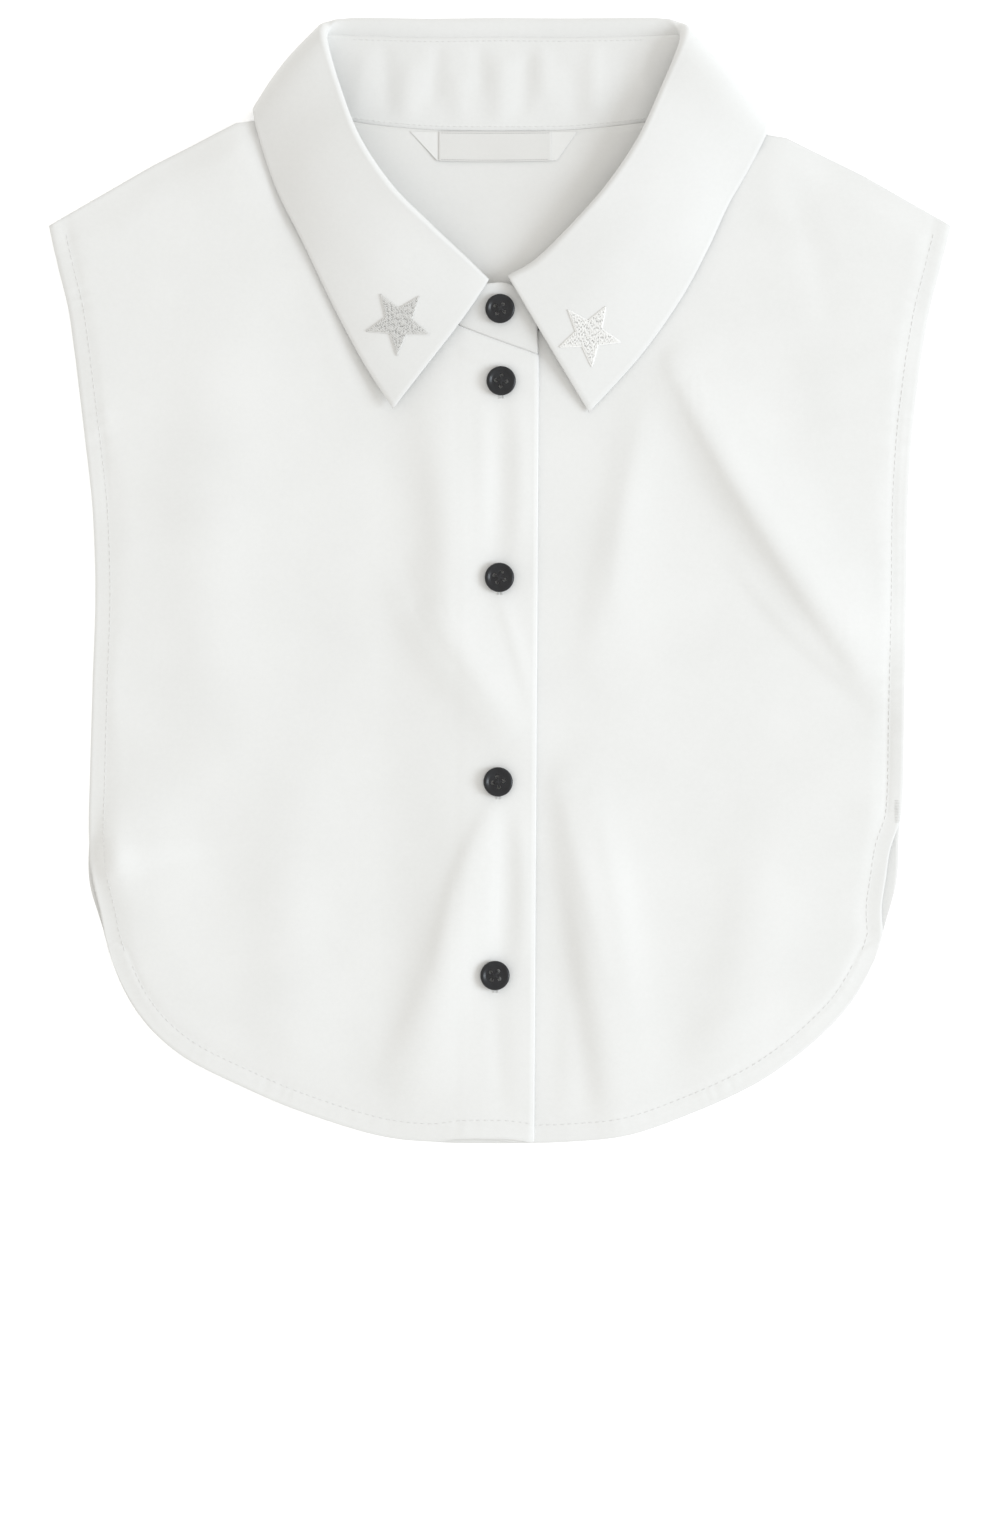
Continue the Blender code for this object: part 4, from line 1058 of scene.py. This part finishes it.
def height_at(tree, x, y, default=None):
    """Highest point of the faces in a tree at a plan point."""
    hit = tree.ray_cast(Vector((x, y, 100.0)), Vector((0.0, 0.0, -1.0)))
    return default if hit[0] is None else hit[0][2]


def laid(tree, points):
    """Plan points laid on the cloth, each at its own rise, or None where one misses the cloth."""
    result = []
    for x, y, rise in points:
        ground = height_at(tree, x, y)
        if ground is None:
            return None
        result.append((x, y, ground + rise))
    return result


def tube_points(line, radius, sides):
    """Rings of points round a line, closed to a small cap at both ends."""
    line = np.array(line)
    along = unit(np.gradient(line, axis=0))
    beside = unit(np.cross(along, np.array((0.0, 0.0, 1.0)) + along * 0.01))
    above = np.cross(beside, along)
    turns = np.linspace(0.0, 2.0 * math.pi, sides + 1)[:-1, None]
    rings = []
    for place, point in enumerate(line):
        size = radius * (THREAD_END if place in (0, len(line) - 1) else 1.0)
        rings.append(point + size * (np.cos(turns) * beside[place] + np.sin(turns) * above[place]))
    return rings


def tubes(name, lines, radius, material, sides=6):
    """Many short threads as one piece."""
    points = []
    faces = []
    for line in lines:
        first = len(points)
        rings = tube_points(line, radius, sides)
        for ring in rings:
            points.extend(ring.tolist())
        last = first + (len(rings) - 1) * sides
        for low in range(first, last, sides):
            for side in range(sides):
                after = (side + 1) % sides
                faces.append((low + side, low + after, low + sides + after, low + sides + side))
        faces.append(tuple(range(first, first + sides)))
        faces.append(tuple(range(last + sides - 1, last - 1, -1)))
    return placed(name, new_mesh(name, points, faces), material)


def offset_line(line, inward, count):
    """A plan line moved sideways, to its left where inward is positive."""
    line = even_steps(line, count)
    along = unit(np.gradient(line, axis=0))
    beside = np.stack((-along[:, 1], along[:, 0]), axis=1)
    return line + beside * inward


def stitch_run(line, tree, stitch, seed):
    """Stitches along a plan line, laid on the cloth, each a shallow arch."""
    pitch, length, sink = stitch
    dice = np.random.default_rng(seed)
    along = distances_along(line)
    stitches = []
    place = pitch * STITCH_START
    while place + length < along[-1]:
        reach = length * (1.0 + dice.normal(0.0, STITCH_DRIFT))
        plan = points_at(line, along, [place + share * reach for share, _ in STITCH_ARCH])
        points = [(x, y, arch - sink) for (x, y), (_, arch) in zip(plan, STITCH_ARCH)]
        stitches.append(laid(tree, points))
        place += pitch * (1.0 + dice.normal(0.0, STITCH_DRIFT))
    return [one for one in stitches if one]


def buttonhole(x, y, tree, seed):
    """Close stitches along both sides of an upright slit."""
    dice = np.random.default_rng(seed)
    lines = []
    for side in (-1.0, 1.0):
        for step in np.arange(-HOLE_LENGTH / 2.0, HOLE_LENGTH / 2.0, HOLE_PITCH):
            points = []
            for share, arch in HOLE_STITCH:
                aside = side * share * HOLE_HALF_WIDTH + dice.normal(0.0, HOLE_DRIFT)
                points.append((x - aside, y + step, arch))
            lines.append(laid(tree, points))
    return [one for one in lines if one]


def bar_tack(tree):
    """A close row of short stitches over the right edge, where the band is sewn in."""
    x = side_x(TACK_Y, "right")
    lines = []
    for y in np.arange(TACK_Y - TACK_LENGTH / 2.0, TACK_Y + TACK_LENGTH / 2.0, TACK_PITCH):
        ground = height_at(tree, x - TACK_GROUND_IN, y)
        lines.append([(x + across, y, ground + rise) for across, rise in TACK_STITCH])
    return lines


def star_corners(x, y, radius, turn):
    """The corners of a star, one point turned down."""
    corners = []
    for corner in range(2 * STAR_POINTS):
        angle = math.radians(-90.0 + turn + 180.0 / STAR_POINTS * corner)
        reach = radius if corner % 2 == 0 else radius * STAR_INNER
        corners.append((x + reach * math.cos(angle), y + reach * math.sin(angle)))
    return corners


def spans_inside(corners, along, beside, offset):
    """Where a straight line across a closed outline lies inside it, as pairs of distances."""
    crossings = []
    for first, second in zip(corners, corners[1:] + corners[:1]):
        first_side = np.dot(first, beside) - offset
        second_side = np.dot(second, beside) - offset
        if first_side * second_side < 0.0:
            share = first_side / (first_side - second_side)
            point = np.array(first) + share * (np.array(second) - np.array(first))
            crossings.append(float(np.dot(point, along)))
    crossings.sort()
    return list(zip(crossings[::2], crossings[1::2]))


def star_stitch(along, beside, place, length, span, dice):
    """Points of one stitch of a star, highest where it is far from the star's edge."""
    low, high = span
    points = []
    for share in np.linspace(0.0, 1.0, STAR_STITCH_POINTS):
        at = place + share * length
        x, y = along * at + beside * dice.normal(0.0, STAR_DRIFT)
        inside = min(at - low, high - at)
        puff = STAR_PUFF * float(smoothstep((inside + STAR_PUFF_RIM) / STAR_PUFF_FADE))
        points.append((x, y, STAR_PAD + puff + STAR_ARCH * math.sin(math.pi * share)))
    return points


def star_cord(corners):
    """Points of the cord round a star."""
    edge = []
    for first, second in zip(corners, corners[1:] + corners[:1]):
        for share in np.linspace(0.0, 1.0, STAR_CORD_POINTS)[:-1]:
            x, y = [start + (end - start) * share for start, end in zip(first, second)]
            edge.append((x, y, STAR_CORD_HEIGHT))
    return edge + edge[:1]


def make_star(name, x, y, radius, turn, slant, tree, material):
    """A star of thread: rows of slanted stitches over a padded ground, with a corded edge."""
    corners = star_corners(x, y, radius, turn)
    dice = np.random.default_rng(int(abs(x) * 10))
    direction = math.radians(slant)
    along = np.array((math.cos(direction), math.sin(direction)))
    beside = np.array((-along[1], along[0]))
    centre = float(np.dot((x, y), beside))
    threads = []
    for offset in np.arange(centre - radius, centre + radius, STAR_THREAD_PITCH):
        for low, high in spans_inside(corners, along, beside, offset):
            place = low - STAR_OVERSHOOT
            length = dice.uniform(*STAR_FIRST_STITCH)
            while place < high - STAR_SHORTEST:
                length = min(length, high + STAR_OVERSHOOT - place)
                following = dice.uniform(*STAR_STITCH)
                points = star_stitch(along, beside, place, length, (low, high), dice)
                moved = [(px + beside[0] * offset, py + beside[1] * offset, rise) for px, py, rise in points]
                threads.append(laid(tree, moved))
                place += length * STAR_ADVANCE
                length = following
    threads.append(laid(tree, star_cord(corners)))
    threads = [one for one in threads if one]
    piece = tubes(name + "_thread", threads, STAR_THREAD_RADIUS, material)
    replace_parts(piece, name)
    return piece


def loose_object(name, builder, material):
    """An object for the making of the buttons alone, taken out again afterwards."""
    mesh = bpy.data.meshes.new(name)
    builder.to_mesh(mesh)
    builder.free()
    mesh.materials.append(material)
    return linked(name, mesh)


def button_blank(material):
    """A round button with a raised rim and a shallow dish, without its holes."""
    builder = bmesh.new()
    rings = []
    for inward, height in BUTTON_PROFILE:
        distance = BUTTON_WIDTH / 2.0 - inward
        ring = []
        for angle in np.linspace(0.0, 2.0 * math.pi, BUTTON_SIDES + 1)[:-1]:
            point = (distance * math.cos(angle) * MM, distance * math.sin(angle) * MM, height * MM)
            ring.append(builder.verts.new(point))
        rings.append(ring)
    for below, above in zip(rings, rings[1:]):
        for side in range(BUTTON_SIDES):
            after = (side + 1) % BUTTON_SIDES
            builder.faces.new((below[side], below[after], above[after], above[side]))
    builder.faces.new(rings[0])
    builder.faces.new(rings[-1])
    bmesh.ops.recalc_face_normals(builder, faces=builder.faces)
    return loose_object("button_blank", builder, material)


def hole_cutter(material):
    """Four upright rods where the holes of a button go."""
    builder = bmesh.new()
    radius = BUTTON_HOLE / 2.0 * MM
    aside = BUTTON_HOLE_SPACING / 2.0 * MM
    for x_sign in (-1, 1):
        for y_sign in (-1, 1):
            made = bmesh.ops.create_cone(
                builder,
                cap_ends=True,
                segments=BUTTON_HOLE_SIDES,
                radius1=radius,
                radius2=radius,
                depth=3.0 * BUTTON_HEIGHT * MM,
            )
            bmesh.ops.translate(builder, verts=made["verts"], vec=(x_sign * aside, y_sign * aside, 0.0))
    return loose_object("button_cutter", builder, material)


def button_mesh(material):
    """The mesh of a button with four holes through it."""
    blank = button_blank(material)
    cutter = hole_cutter(material)
    cut = blank.modifiers.new("holes", "BOOLEAN")
    cut.operation = "DIFFERENCE"
    cut.object = cutter
    cut.solver = "EXACT"
    graph = bpy.context.evaluated_depsgraph_get()
    mesh = bpy.data.meshes.new_from_object(blank.evaluated_get(graph))
    bpy.data.objects.remove(blank)
    bpy.data.objects.remove(cutter)
    mesh.shade_smooth()
    mesh.set_sharp_from_angle(angle=math.radians(BUTTON_SHARP))
    return mesh


def rest_height(tree, x, y):
    """Highest point of the cloth under a button."""
    heights = []
    for reach in (0.0, BUTTON_WIDTH / 4.0, BUTTON_WIDTH / 2.2):
        for turn in range(0, 360, 30):
            angle = math.radians(turn)
            heights.append(height_at(tree, x + reach * math.cos(angle), y + reach * math.sin(angle), 0.0))
    return max(heights)


def button_thread(x, y, floor, turn):
    """Lines of the thread that crosses from hole to hole, two strands each way."""
    lines = []
    half = BUTTON_HOLE_SPACING / 2.0
    for slope in (1.0, -1.0):
        for aside in (-BUTTON_THREAD_ASIDE, BUTTON_THREAD_ASIDE):
            line = []
            for across in np.linspace(-1.0, 1.0, 9):
                far = abs(across)
                rise = BUTTON_THREAD_ARCH * (1.0 - far**4) - BUTTON_THREAD_PLUNGE * far**10
                own_x = across * half
                own_y = slope * across * half + aside
                turned_x = own_x * math.cos(turn) - own_y * math.sin(turn)
                turned_y = own_x * math.sin(turn) + own_y * math.cos(turn)
                line.append((x + turned_x, y + turned_y, floor + rise))
            lines.append(line)
    return lines


def make_buttons(placket_tree, stand_tree, materials):
    """Five buttons, each resting on the cloth under it, with its thread through the four holes."""
    mesh = button_mesh(materials["dark_button"])
    buttons = []
    threads = []
    for number, (x, y) in enumerate(BUTTON_PLACES, start=1):
        low = rest_height(stand_tree if number == 1 else placket_tree, x, y) + BUTTON_CLEARANCE
        turn = math.radians(BUTTON_TURNS[number - 1])
        button = linked(f"button_{number}_shell", mesh)
        button.location = (x * MM, y * MM, low * MM)
        button.rotation_euler = (0.0, 0.0, turn)
        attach(button, "root")
        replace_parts(button, f"button_{number}")
        buttons.append(button)
        lines = button_thread(x, y, low + BUTTON_HEIGHT - BUTTON_DISH, turn)
        name = f"button_{number}_thread"
        threads.append(tubes(name, lines, BUTTON_THREAD_RADIUS, materials["button_thread"]))
    return buttons, threads


def label_sheet(top_x, foot_x, rise, columns):
    """Both faces of one flat part of the label, between its ends at the top and at the foot."""
    shares = np.linspace(0.0, 1.0, LABEL_ROWS)[None, :]
    left, right = [top + (foot - top) * shares for top, foot in zip(top_x, foot_x)]
    x = left + (right - left) * np.linspace(0.0, 1.0, columns)[:, None]
    bow = LABEL_BOW * (1.0 - ((x - LABEL_MIDDLE_X) / LABEL_HALF) ** 2)
    top_y = LABEL_TOP_Y - LABEL_TOP_BOW * bow
    y = top_y + (LABEL_FOOT_Y - bow - top_y) * shares
    groove, groove_share, groove_width = LABEL_GROOVE
    high = back_height(x, y) + PANEL_CLOTH + rise + LABEL_FOOT_RISE * shares**2
    high = high + LABEL_WAVE * np.sin(x / LABEL_WAVE_LENGTH)
    high = high - groove * bump(shares, groove_share, groove_width)
    return np.dstack((x, y, high)), np.dstack((x, y, high - LABEL_WALL))


def make_label(materials):
    """The blank woven label: a strip with both ends folded under on a slant, with dark thread lines along
    two edges: painted shadow under the stand at its top, a stitched line with painted shadow at its foot.
    """
    pieces = []
    for name, top_x, foot_x, rise, columns in LABEL_SHAPES:
        upper, lower = label_sheet(top_x, foot_x, rise, columns)
        if not pieces:
            strip = upper
        material = materials["label_satin_back" if pieces else "label_satin"]
        pieces.append(slab(name, upper, lower, material, "label_satin"))
    tree = top_tree(strip)
    shade_lines = []
    # Dark lines along the top and the foot, painted shadow.
    for row in LABEL_SHADE_LINE_ROWS:
        shade_lines += stitch_run(strip[1:-1, row, :2], tree, LABEL_SHADE_LINE_STITCH, 80 + row)
    shade_line_material = materials["label_shade_lines"]
    pieces.append(tubes("neck_label_shade_lines", shade_lines, LABEL_SHADE_LINE_RADIUS, shade_line_material))
    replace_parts(pieces[0], "neck_label")
    return pieces


def make_band(side, middle_y, fold_in, material):
    """A short ribbed elastic band folded between front and back, its fold towards the side."""
    edge = side_x(middle_y, side)
    inward = -math.copysign(1.0, edge)
    half = BAND_WALL / 2.0
    turns = np.linspace(-math.pi / 2.0, math.pi / 2.0, BAND_TURN_STEPS)
    reach = np.linspace(BAND_REACH, half, BAND_REACH_STEPS)
    flat = np.full(BAND_REACH_STEPS, half)
    depth = np.concatenate((reach, half * (1.0 - np.cos(turns)), reach[::-1]))
    rise = np.concatenate((-flat, half * np.sin(turns), flat))
    along = np.linspace(-BAND_LENGTH / 2.0, BAND_LENGTH / 2.0, BAND_ALONG_STEPS)
    ribs = BAND_RIB * np.sin(2.0 * math.pi * along / BAND_RIB_PITCH)
    bow = BAND_BOW * np.cos(math.pi * along / BAND_LENGTH)
    turned = np.where(depth <= half, 1.0 - depth / half, 0.0)
    y = np.repeat(middle_y + along[None, :], len(depth), axis=0)
    grids = []
    for offset, rib in ((0.0, ribs), (BAND_SHEET, 0.0 * ribs)):
        x = edge + inward * ((depth + fold_in + offset * turned)[:, None] - bow[None, :])
        z = BAND_FLOOR + half + rise[:, None] * (1.0 - offset / half) + np.sign(rise)[:, None] * rib[None, :]
        grids.append(np.dstack((x, y, z)))
    piece = slab("side_band_" + side + "_elastic", *grids, material, "white_elastic")
    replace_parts(piece, "side_band_" + side)
    return piece


def new_material(name, settings):
    """A material with settings on its shader, and its node tree, shader and object coordinates."""
    material = bpy.data.materials.new(name)
    material.use_nodes = True
    tree = material.node_tree
    shader = tree.nodes["Principled BSDF"]
    for socket, value in settings.items():
        shader.inputs[socket].default_value = value
    return material, tree, shader, tree.nodes.new("ShaderNodeTexCoord")


def noise_node(tree, place, scale, detail, roughness=0.5):
    """A cloudy texture that stays with the object."""
    node = tree.nodes.new("ShaderNodeTexNoise")
    node.inputs["Scale"].default_value = scale
    node.inputs["Detail"].default_value = detail
    node.inputs["Roughness"].default_value = roughness
    tree.links.new(place.outputs["Object"], node.inputs["Vector"])
    return node


def ramp_into(tree, source, span, dark, light, socket):
    """Maps a span of a texture to a span between two colours, into a socket of the shader."""
    node = tree.nodes.new("ShaderNodeValToRGB")
    for element, position, colour in zip(node.color_ramp.elements, span, (dark, light)):
        element.position = position
        element.color = (*colour, 1.0)
    tree.links.new(source, node.inputs["Fac"])
    tree.links.new(node.outputs["Color"], socket)


def math_node(tree, operation, *values):
    """One step of arithmetic on values that are numbers or other nodes' outputs."""
    node = tree.nodes.new("ShaderNodeMath")
    node.operation = operation
    for socket, value in zip(node.inputs, values):
        if isinstance(value, float):
            socket.default_value = value
        else:
            tree.links.new(value, socket)
    return node.outputs[0]


def bump_node(tree, height, strength, depth):
    """Fine relief from a texture."""
    node = tree.nodes.new("ShaderNodeBump")
    node.inputs["Strength"].default_value = strength
    node.inputs["Distance"].default_value = depth * MM
    tree.links.new(height, node.inputs["Height"])
    return node


def weave_height(tree, place, pitch):
    """Height of a plain weave: threads one way times threads the other way."""
    threads = []
    for direction in ("X", "Y"):
        wave = tree.nodes.new("ShaderNodeTexWave")
        wave.wave_type = "BANDS"
        wave.bands_direction = direction
        wave.inputs["Scale"].default_value = 2.0 * math.pi / (20.0 * pitch * MM)
        wave.inputs["Distortion"].default_value = 0.6
        wave.inputs["Detail"].default_value = 1.0
        tree.links.new(place.outputs["Object"], wave.inputs["Vector"])
        threads.append(math_node(tree, "SUBTRACT", wave.outputs["Fac"], 0.5))
    return math_node(tree, "MULTIPLY", *threads)


def cloth_material(name, dark, light, roughness, sheen, pitch, weave_depth, grain_depth):
    """Woven cloth: slightly uneven in colour, with a fine plain weave and a little roughness of its own."""
    settings = {"Sheen Weight": sheen, "Sheen Roughness": 0.6, "Specular IOR Level": 0.25}
    material, tree, shader, place = new_material(name, settings)
    cloud = noise_node(tree, place, 24.0, 4.0).outputs["Fac"]
    slub = noise_node(tree, place, 700.0, 3.0, 0.7).outputs["Fac"]
    mixed = math_node(tree, "MULTIPLY_ADD", cloud, 0.65, math_node(tree, "MULTIPLY", slub, 0.35))
    ramp_into(tree, mixed, (0.35, 0.65), dark, light, shader.inputs["Base Color"])
    smooth, rough = (roughness - 0.05,) * 3, (roughness + 0.05,) * 3
    ramp_into(tree, cloud, (0.3, 0.7), smooth, rough, shader.inputs["Roughness"])
    fine = bump_node(tree, weave_height(tree, place, pitch), 0.5, weave_depth)
    coarse = bump_node(tree, slub, 0.5, grain_depth)
    tree.links.new(fine.outputs["Normal"], coarse.inputs["Normal"])
    tree.links.new(coarse.outputs["Normal"], shader.inputs["Normal"])
    return material


def thread_material(name, dark, light, roughness, sheen):
    """Glossy sewing or embroidery thread with a fine twist."""
    settings = {"Roughness": roughness, "Sheen Weight": sheen, "Specular IOR Level": 0.5}
    material, tree, shader, place = new_material(name, settings)
    strand = noise_node(tree, place, 1600.0, 2.0).outputs["Fac"]
    ramp_into(tree, strand, (0.3, 0.7), dark, light, shader.inputs["Base Color"])
    relief = bump_node(tree, strand, 0.4, 0.05)
    tree.links.new(relief.outputs["Normal"], shader.inputs["Normal"])
    return material


def button_material(name):
    """Near-black resin, half glossy, slightly cloudy and finely scuffed."""
    settings = {"Specular IOR Level": 0.35, "Coat Weight": 0.2, "Coat Roughness": 0.2}
    material, tree, shader, place = new_material(name, settings)
    cloud = noise_node(tree, place, 380.0, 4.0).outputs["Fac"]
    dark, light = (0.004, 0.004, 0.006), (0.010, 0.011, 0.014)
    ramp_into(tree, cloud, (0.35, 0.7), dark, light, shader.inputs["Base Color"])
    scuff = noise_node(tree, place, 1400.0, 3.0, 0.7).outputs["Fac"]
    ramp_into(tree, scuff, (0.3, 0.8), (0.30,) * 3, (0.46,) * 3, shader.inputs["Roughness"])
    return material


def floor_material():
    """A matt white floor that glows a little, so that it stays as white as a studio's."""
    settings = {
        "Specular IOR Level": 0.0,
        "Roughness": 0.9,
        "Emission Color": (1.0, 1.0, 1.0, 1.0),
        "Emission Strength": FLOOR_GLOW,
    }
    material, tree, shader, place = new_material("pale_floor", settings)
    cloud = noise_node(tree, place, 3.0, 2.0).outputs["Fac"]
    ramp_into(tree, cloud, (0.2, 0.8), (0.95,) * 3, (0.97,) * 3, shader.inputs["Base Color"])
    return material


def make_materials():
    """Every material of the collar, by its name."""
    made = {row[0]: cloth_material(*row) for row in CLOTHS}
    made.update({row[0]: thread_material(*row) for row in THREADS})
    made["dark_button"] = button_material("dark_button")
    return made


def make_floor():
    """The plain floor that the collar lies on."""
    mesh = bpy.data.meshes.new("floor")
    size = FLOOR_SIZE / 2.0
    corners = [(-size, -size, 0.0), (size, -size, 0.0), (size, size, 0.0), (-size, size, 0.0)]
    mesh.from_pydata(corners, [], [(0, 1, 2, 3)])
    mesh.materials.append(floor_material())
    linked("floor", mesh)


def make_light():
    """A soft room and one large cool window to the right."""
    world = bpy.data.worlds.new("soft_room")
    world.use_nodes = True
    background = world.node_tree.nodes["Background"]
    background.inputs["Color"].default_value = (*ROOM_COLOUR, 1.0)
    background.inputs["Strength"].default_value = ROOM_STRENGTH
    bpy.context.scene.world = world
    lamp = bpy.data.lights.new("window", "AREA")
    lamp.shape = "DISK"
    lamp.size = LAMP_SIZE
    lamp.energy = LAMP_POWER
    lamp.color = LAMP_COLOUR
    light = linked("window", lamp)
    light.location = LAMP_PLACE
    light.rotation_euler = (Vector(LAMP_AIM) - Vector(LAMP_PLACE)).to_track_quat("-Z", "Y").to_euler()
    bpy.context.scene.view_settings.view_transform = "Standard"


def make_camera():
    """The camera, straight above and looking down."""
    camera = bpy.data.cameras.new("camera")
    camera.lens = CAMERA_LENS
    camera.sensor_width = 36.0
    camera.clip_end = 20.0
    seen = linked("camera", camera)
    seen.location = (0.0, CAMERA_Y, CAMERA_HEIGHT)
    bpy.context.scene.camera = seen


def build_cloth(sections, materials):
    """Back, fronts, stand and fall, with the grids that stitches are laid on."""
    grids = {
        "back_panel": back_sheet(sections),
        "front_under": front_sheet(sections, "right"),
        "front_over": front_sheet(sections, "left"),
        "collar_stand": thicken(stand_surface(sections), COLLAR_CLOTH),
        "collar_fall": thicken(fall_surface(sections), COLLAR_CLOTH),
    }
    for node, (upper, lower) in grids.items():
        # The collar's colour carries painted shade of the neck.
        slot_name = "collar_poplin" if node.startswith("collar") else "white_poplin"
        # The back takes the darker copy of the poplin, which carries painted shade.
        material = materials["shaded_back_poplin" if node == "back_panel" else slot_name]
        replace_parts(slab(node + "_cloth", upper, lower, material, slot_name), node)
    return grids


def front_stitches(node, sign, upper):
    """Lines of the stitches along a front's hem and armhole, and of its buttonholes or its bar-tack."""
    tree = top_tree(upper)
    hem = offset_line(upper[:, -1, :2], sign * HEM_SEAM[0], SEAM_SAMPLES)[HEM_STITCHED]
    armhole = offset_line(upper[-1, :, :2], -sign * ARMHOLE_SEAM[0], SEAM_SAMPLES)[ARMHOLE_STITCHED]
    lines = stitch_run(hem, tree, BODY_STITCH, 51) + stitch_run(armhole, tree, BODY_STITCH, 52)
    if node == "front_under":
        return lines + bar_tack(tree)
    for place, (x, y) in enumerate(BUTTON_PLACES[1:]):
        lines += buttonhole(x + HOLE_SHIFT[0], y + HOLE_SHIFT[1], tree, 60 + place)
    return lines


def stand_stitches(faces):
    """Lines of the stitches inside the neck: just over the stand's seam, and just under its top."""
    tree = top_tree(*faces)
    middle = (faces[0] + faces[1]) / 2.0
    shares = np.linspace(0.0, 1.0, middle.shape[1])
    seam = [[np.interp(STAND_SEAM_SHARE, shares, row[:, axis]) for axis in (0, 1)] for row in middle]
    seam = np.array(seam)
    seam = seam[(np.abs(seam[:, 0]) < STAND_SEAM_END_X) & (seam[:, 1] > STAND_SEAM_END_Y)]
    top = middle[:, -2, :2]
    top = top[(np.abs(top[:, 0]) < STAND_TOP_END_X) & (top[:, 1] > STAND_TOP_END_Y)]
    return stitch_run(seam, tree, STAND_STITCH, 53) + stitch_run(top, tree, STAND_STITCH, 54)


def build_stitches(grids, material):
    """Every seam's stitches, one piece for each sheet that carries them."""
    rows = (
        ("front_over", front_stitches("front_over", -1.0, grids["front_over"][0]), "white_poplin"),
        ("front_under", front_stitches("front_under", 1.0, grids["front_under"][0]), "white_poplin"),
        ("collar_stand", stand_stitches(grids["collar_stand"]), "collar_poplin"),
    )
    made = {}
    for node, lines, slot_name in rows:
        made[node] = tubes(node + "_stitches", lines, STITCH_RADIUS, material)
    return made


def main():
    """Builds the collar, its floor, its light and its camera."""
    materials = make_materials()
    grids = build_cloth(collar_sections(), materials)
    stitches = build_stitches(grids, materials["sewing_thread"])
    fall_tree = top_tree(*grids["collar_fall"])
    for side, *row in STAR_ROWS:
        # Each star takes its own colour of the same thread, painted sheen.
        make_star("star_" + side, *row, fall_tree, materials["star_thread_" + side])
    stand_tree = top_tree(*grids["collar_stand"])
    placket_tree = top_tree(grids["front_over"][0])
    buttons, threads = make_buttons(placket_tree, stand_tree, materials)
    label_pieces = make_label(materials)
    for row in BAND_ROWS:
        make_band(*row, materials["white_elastic"])
    make_floor()
    make_light()
    make_camera()


main()
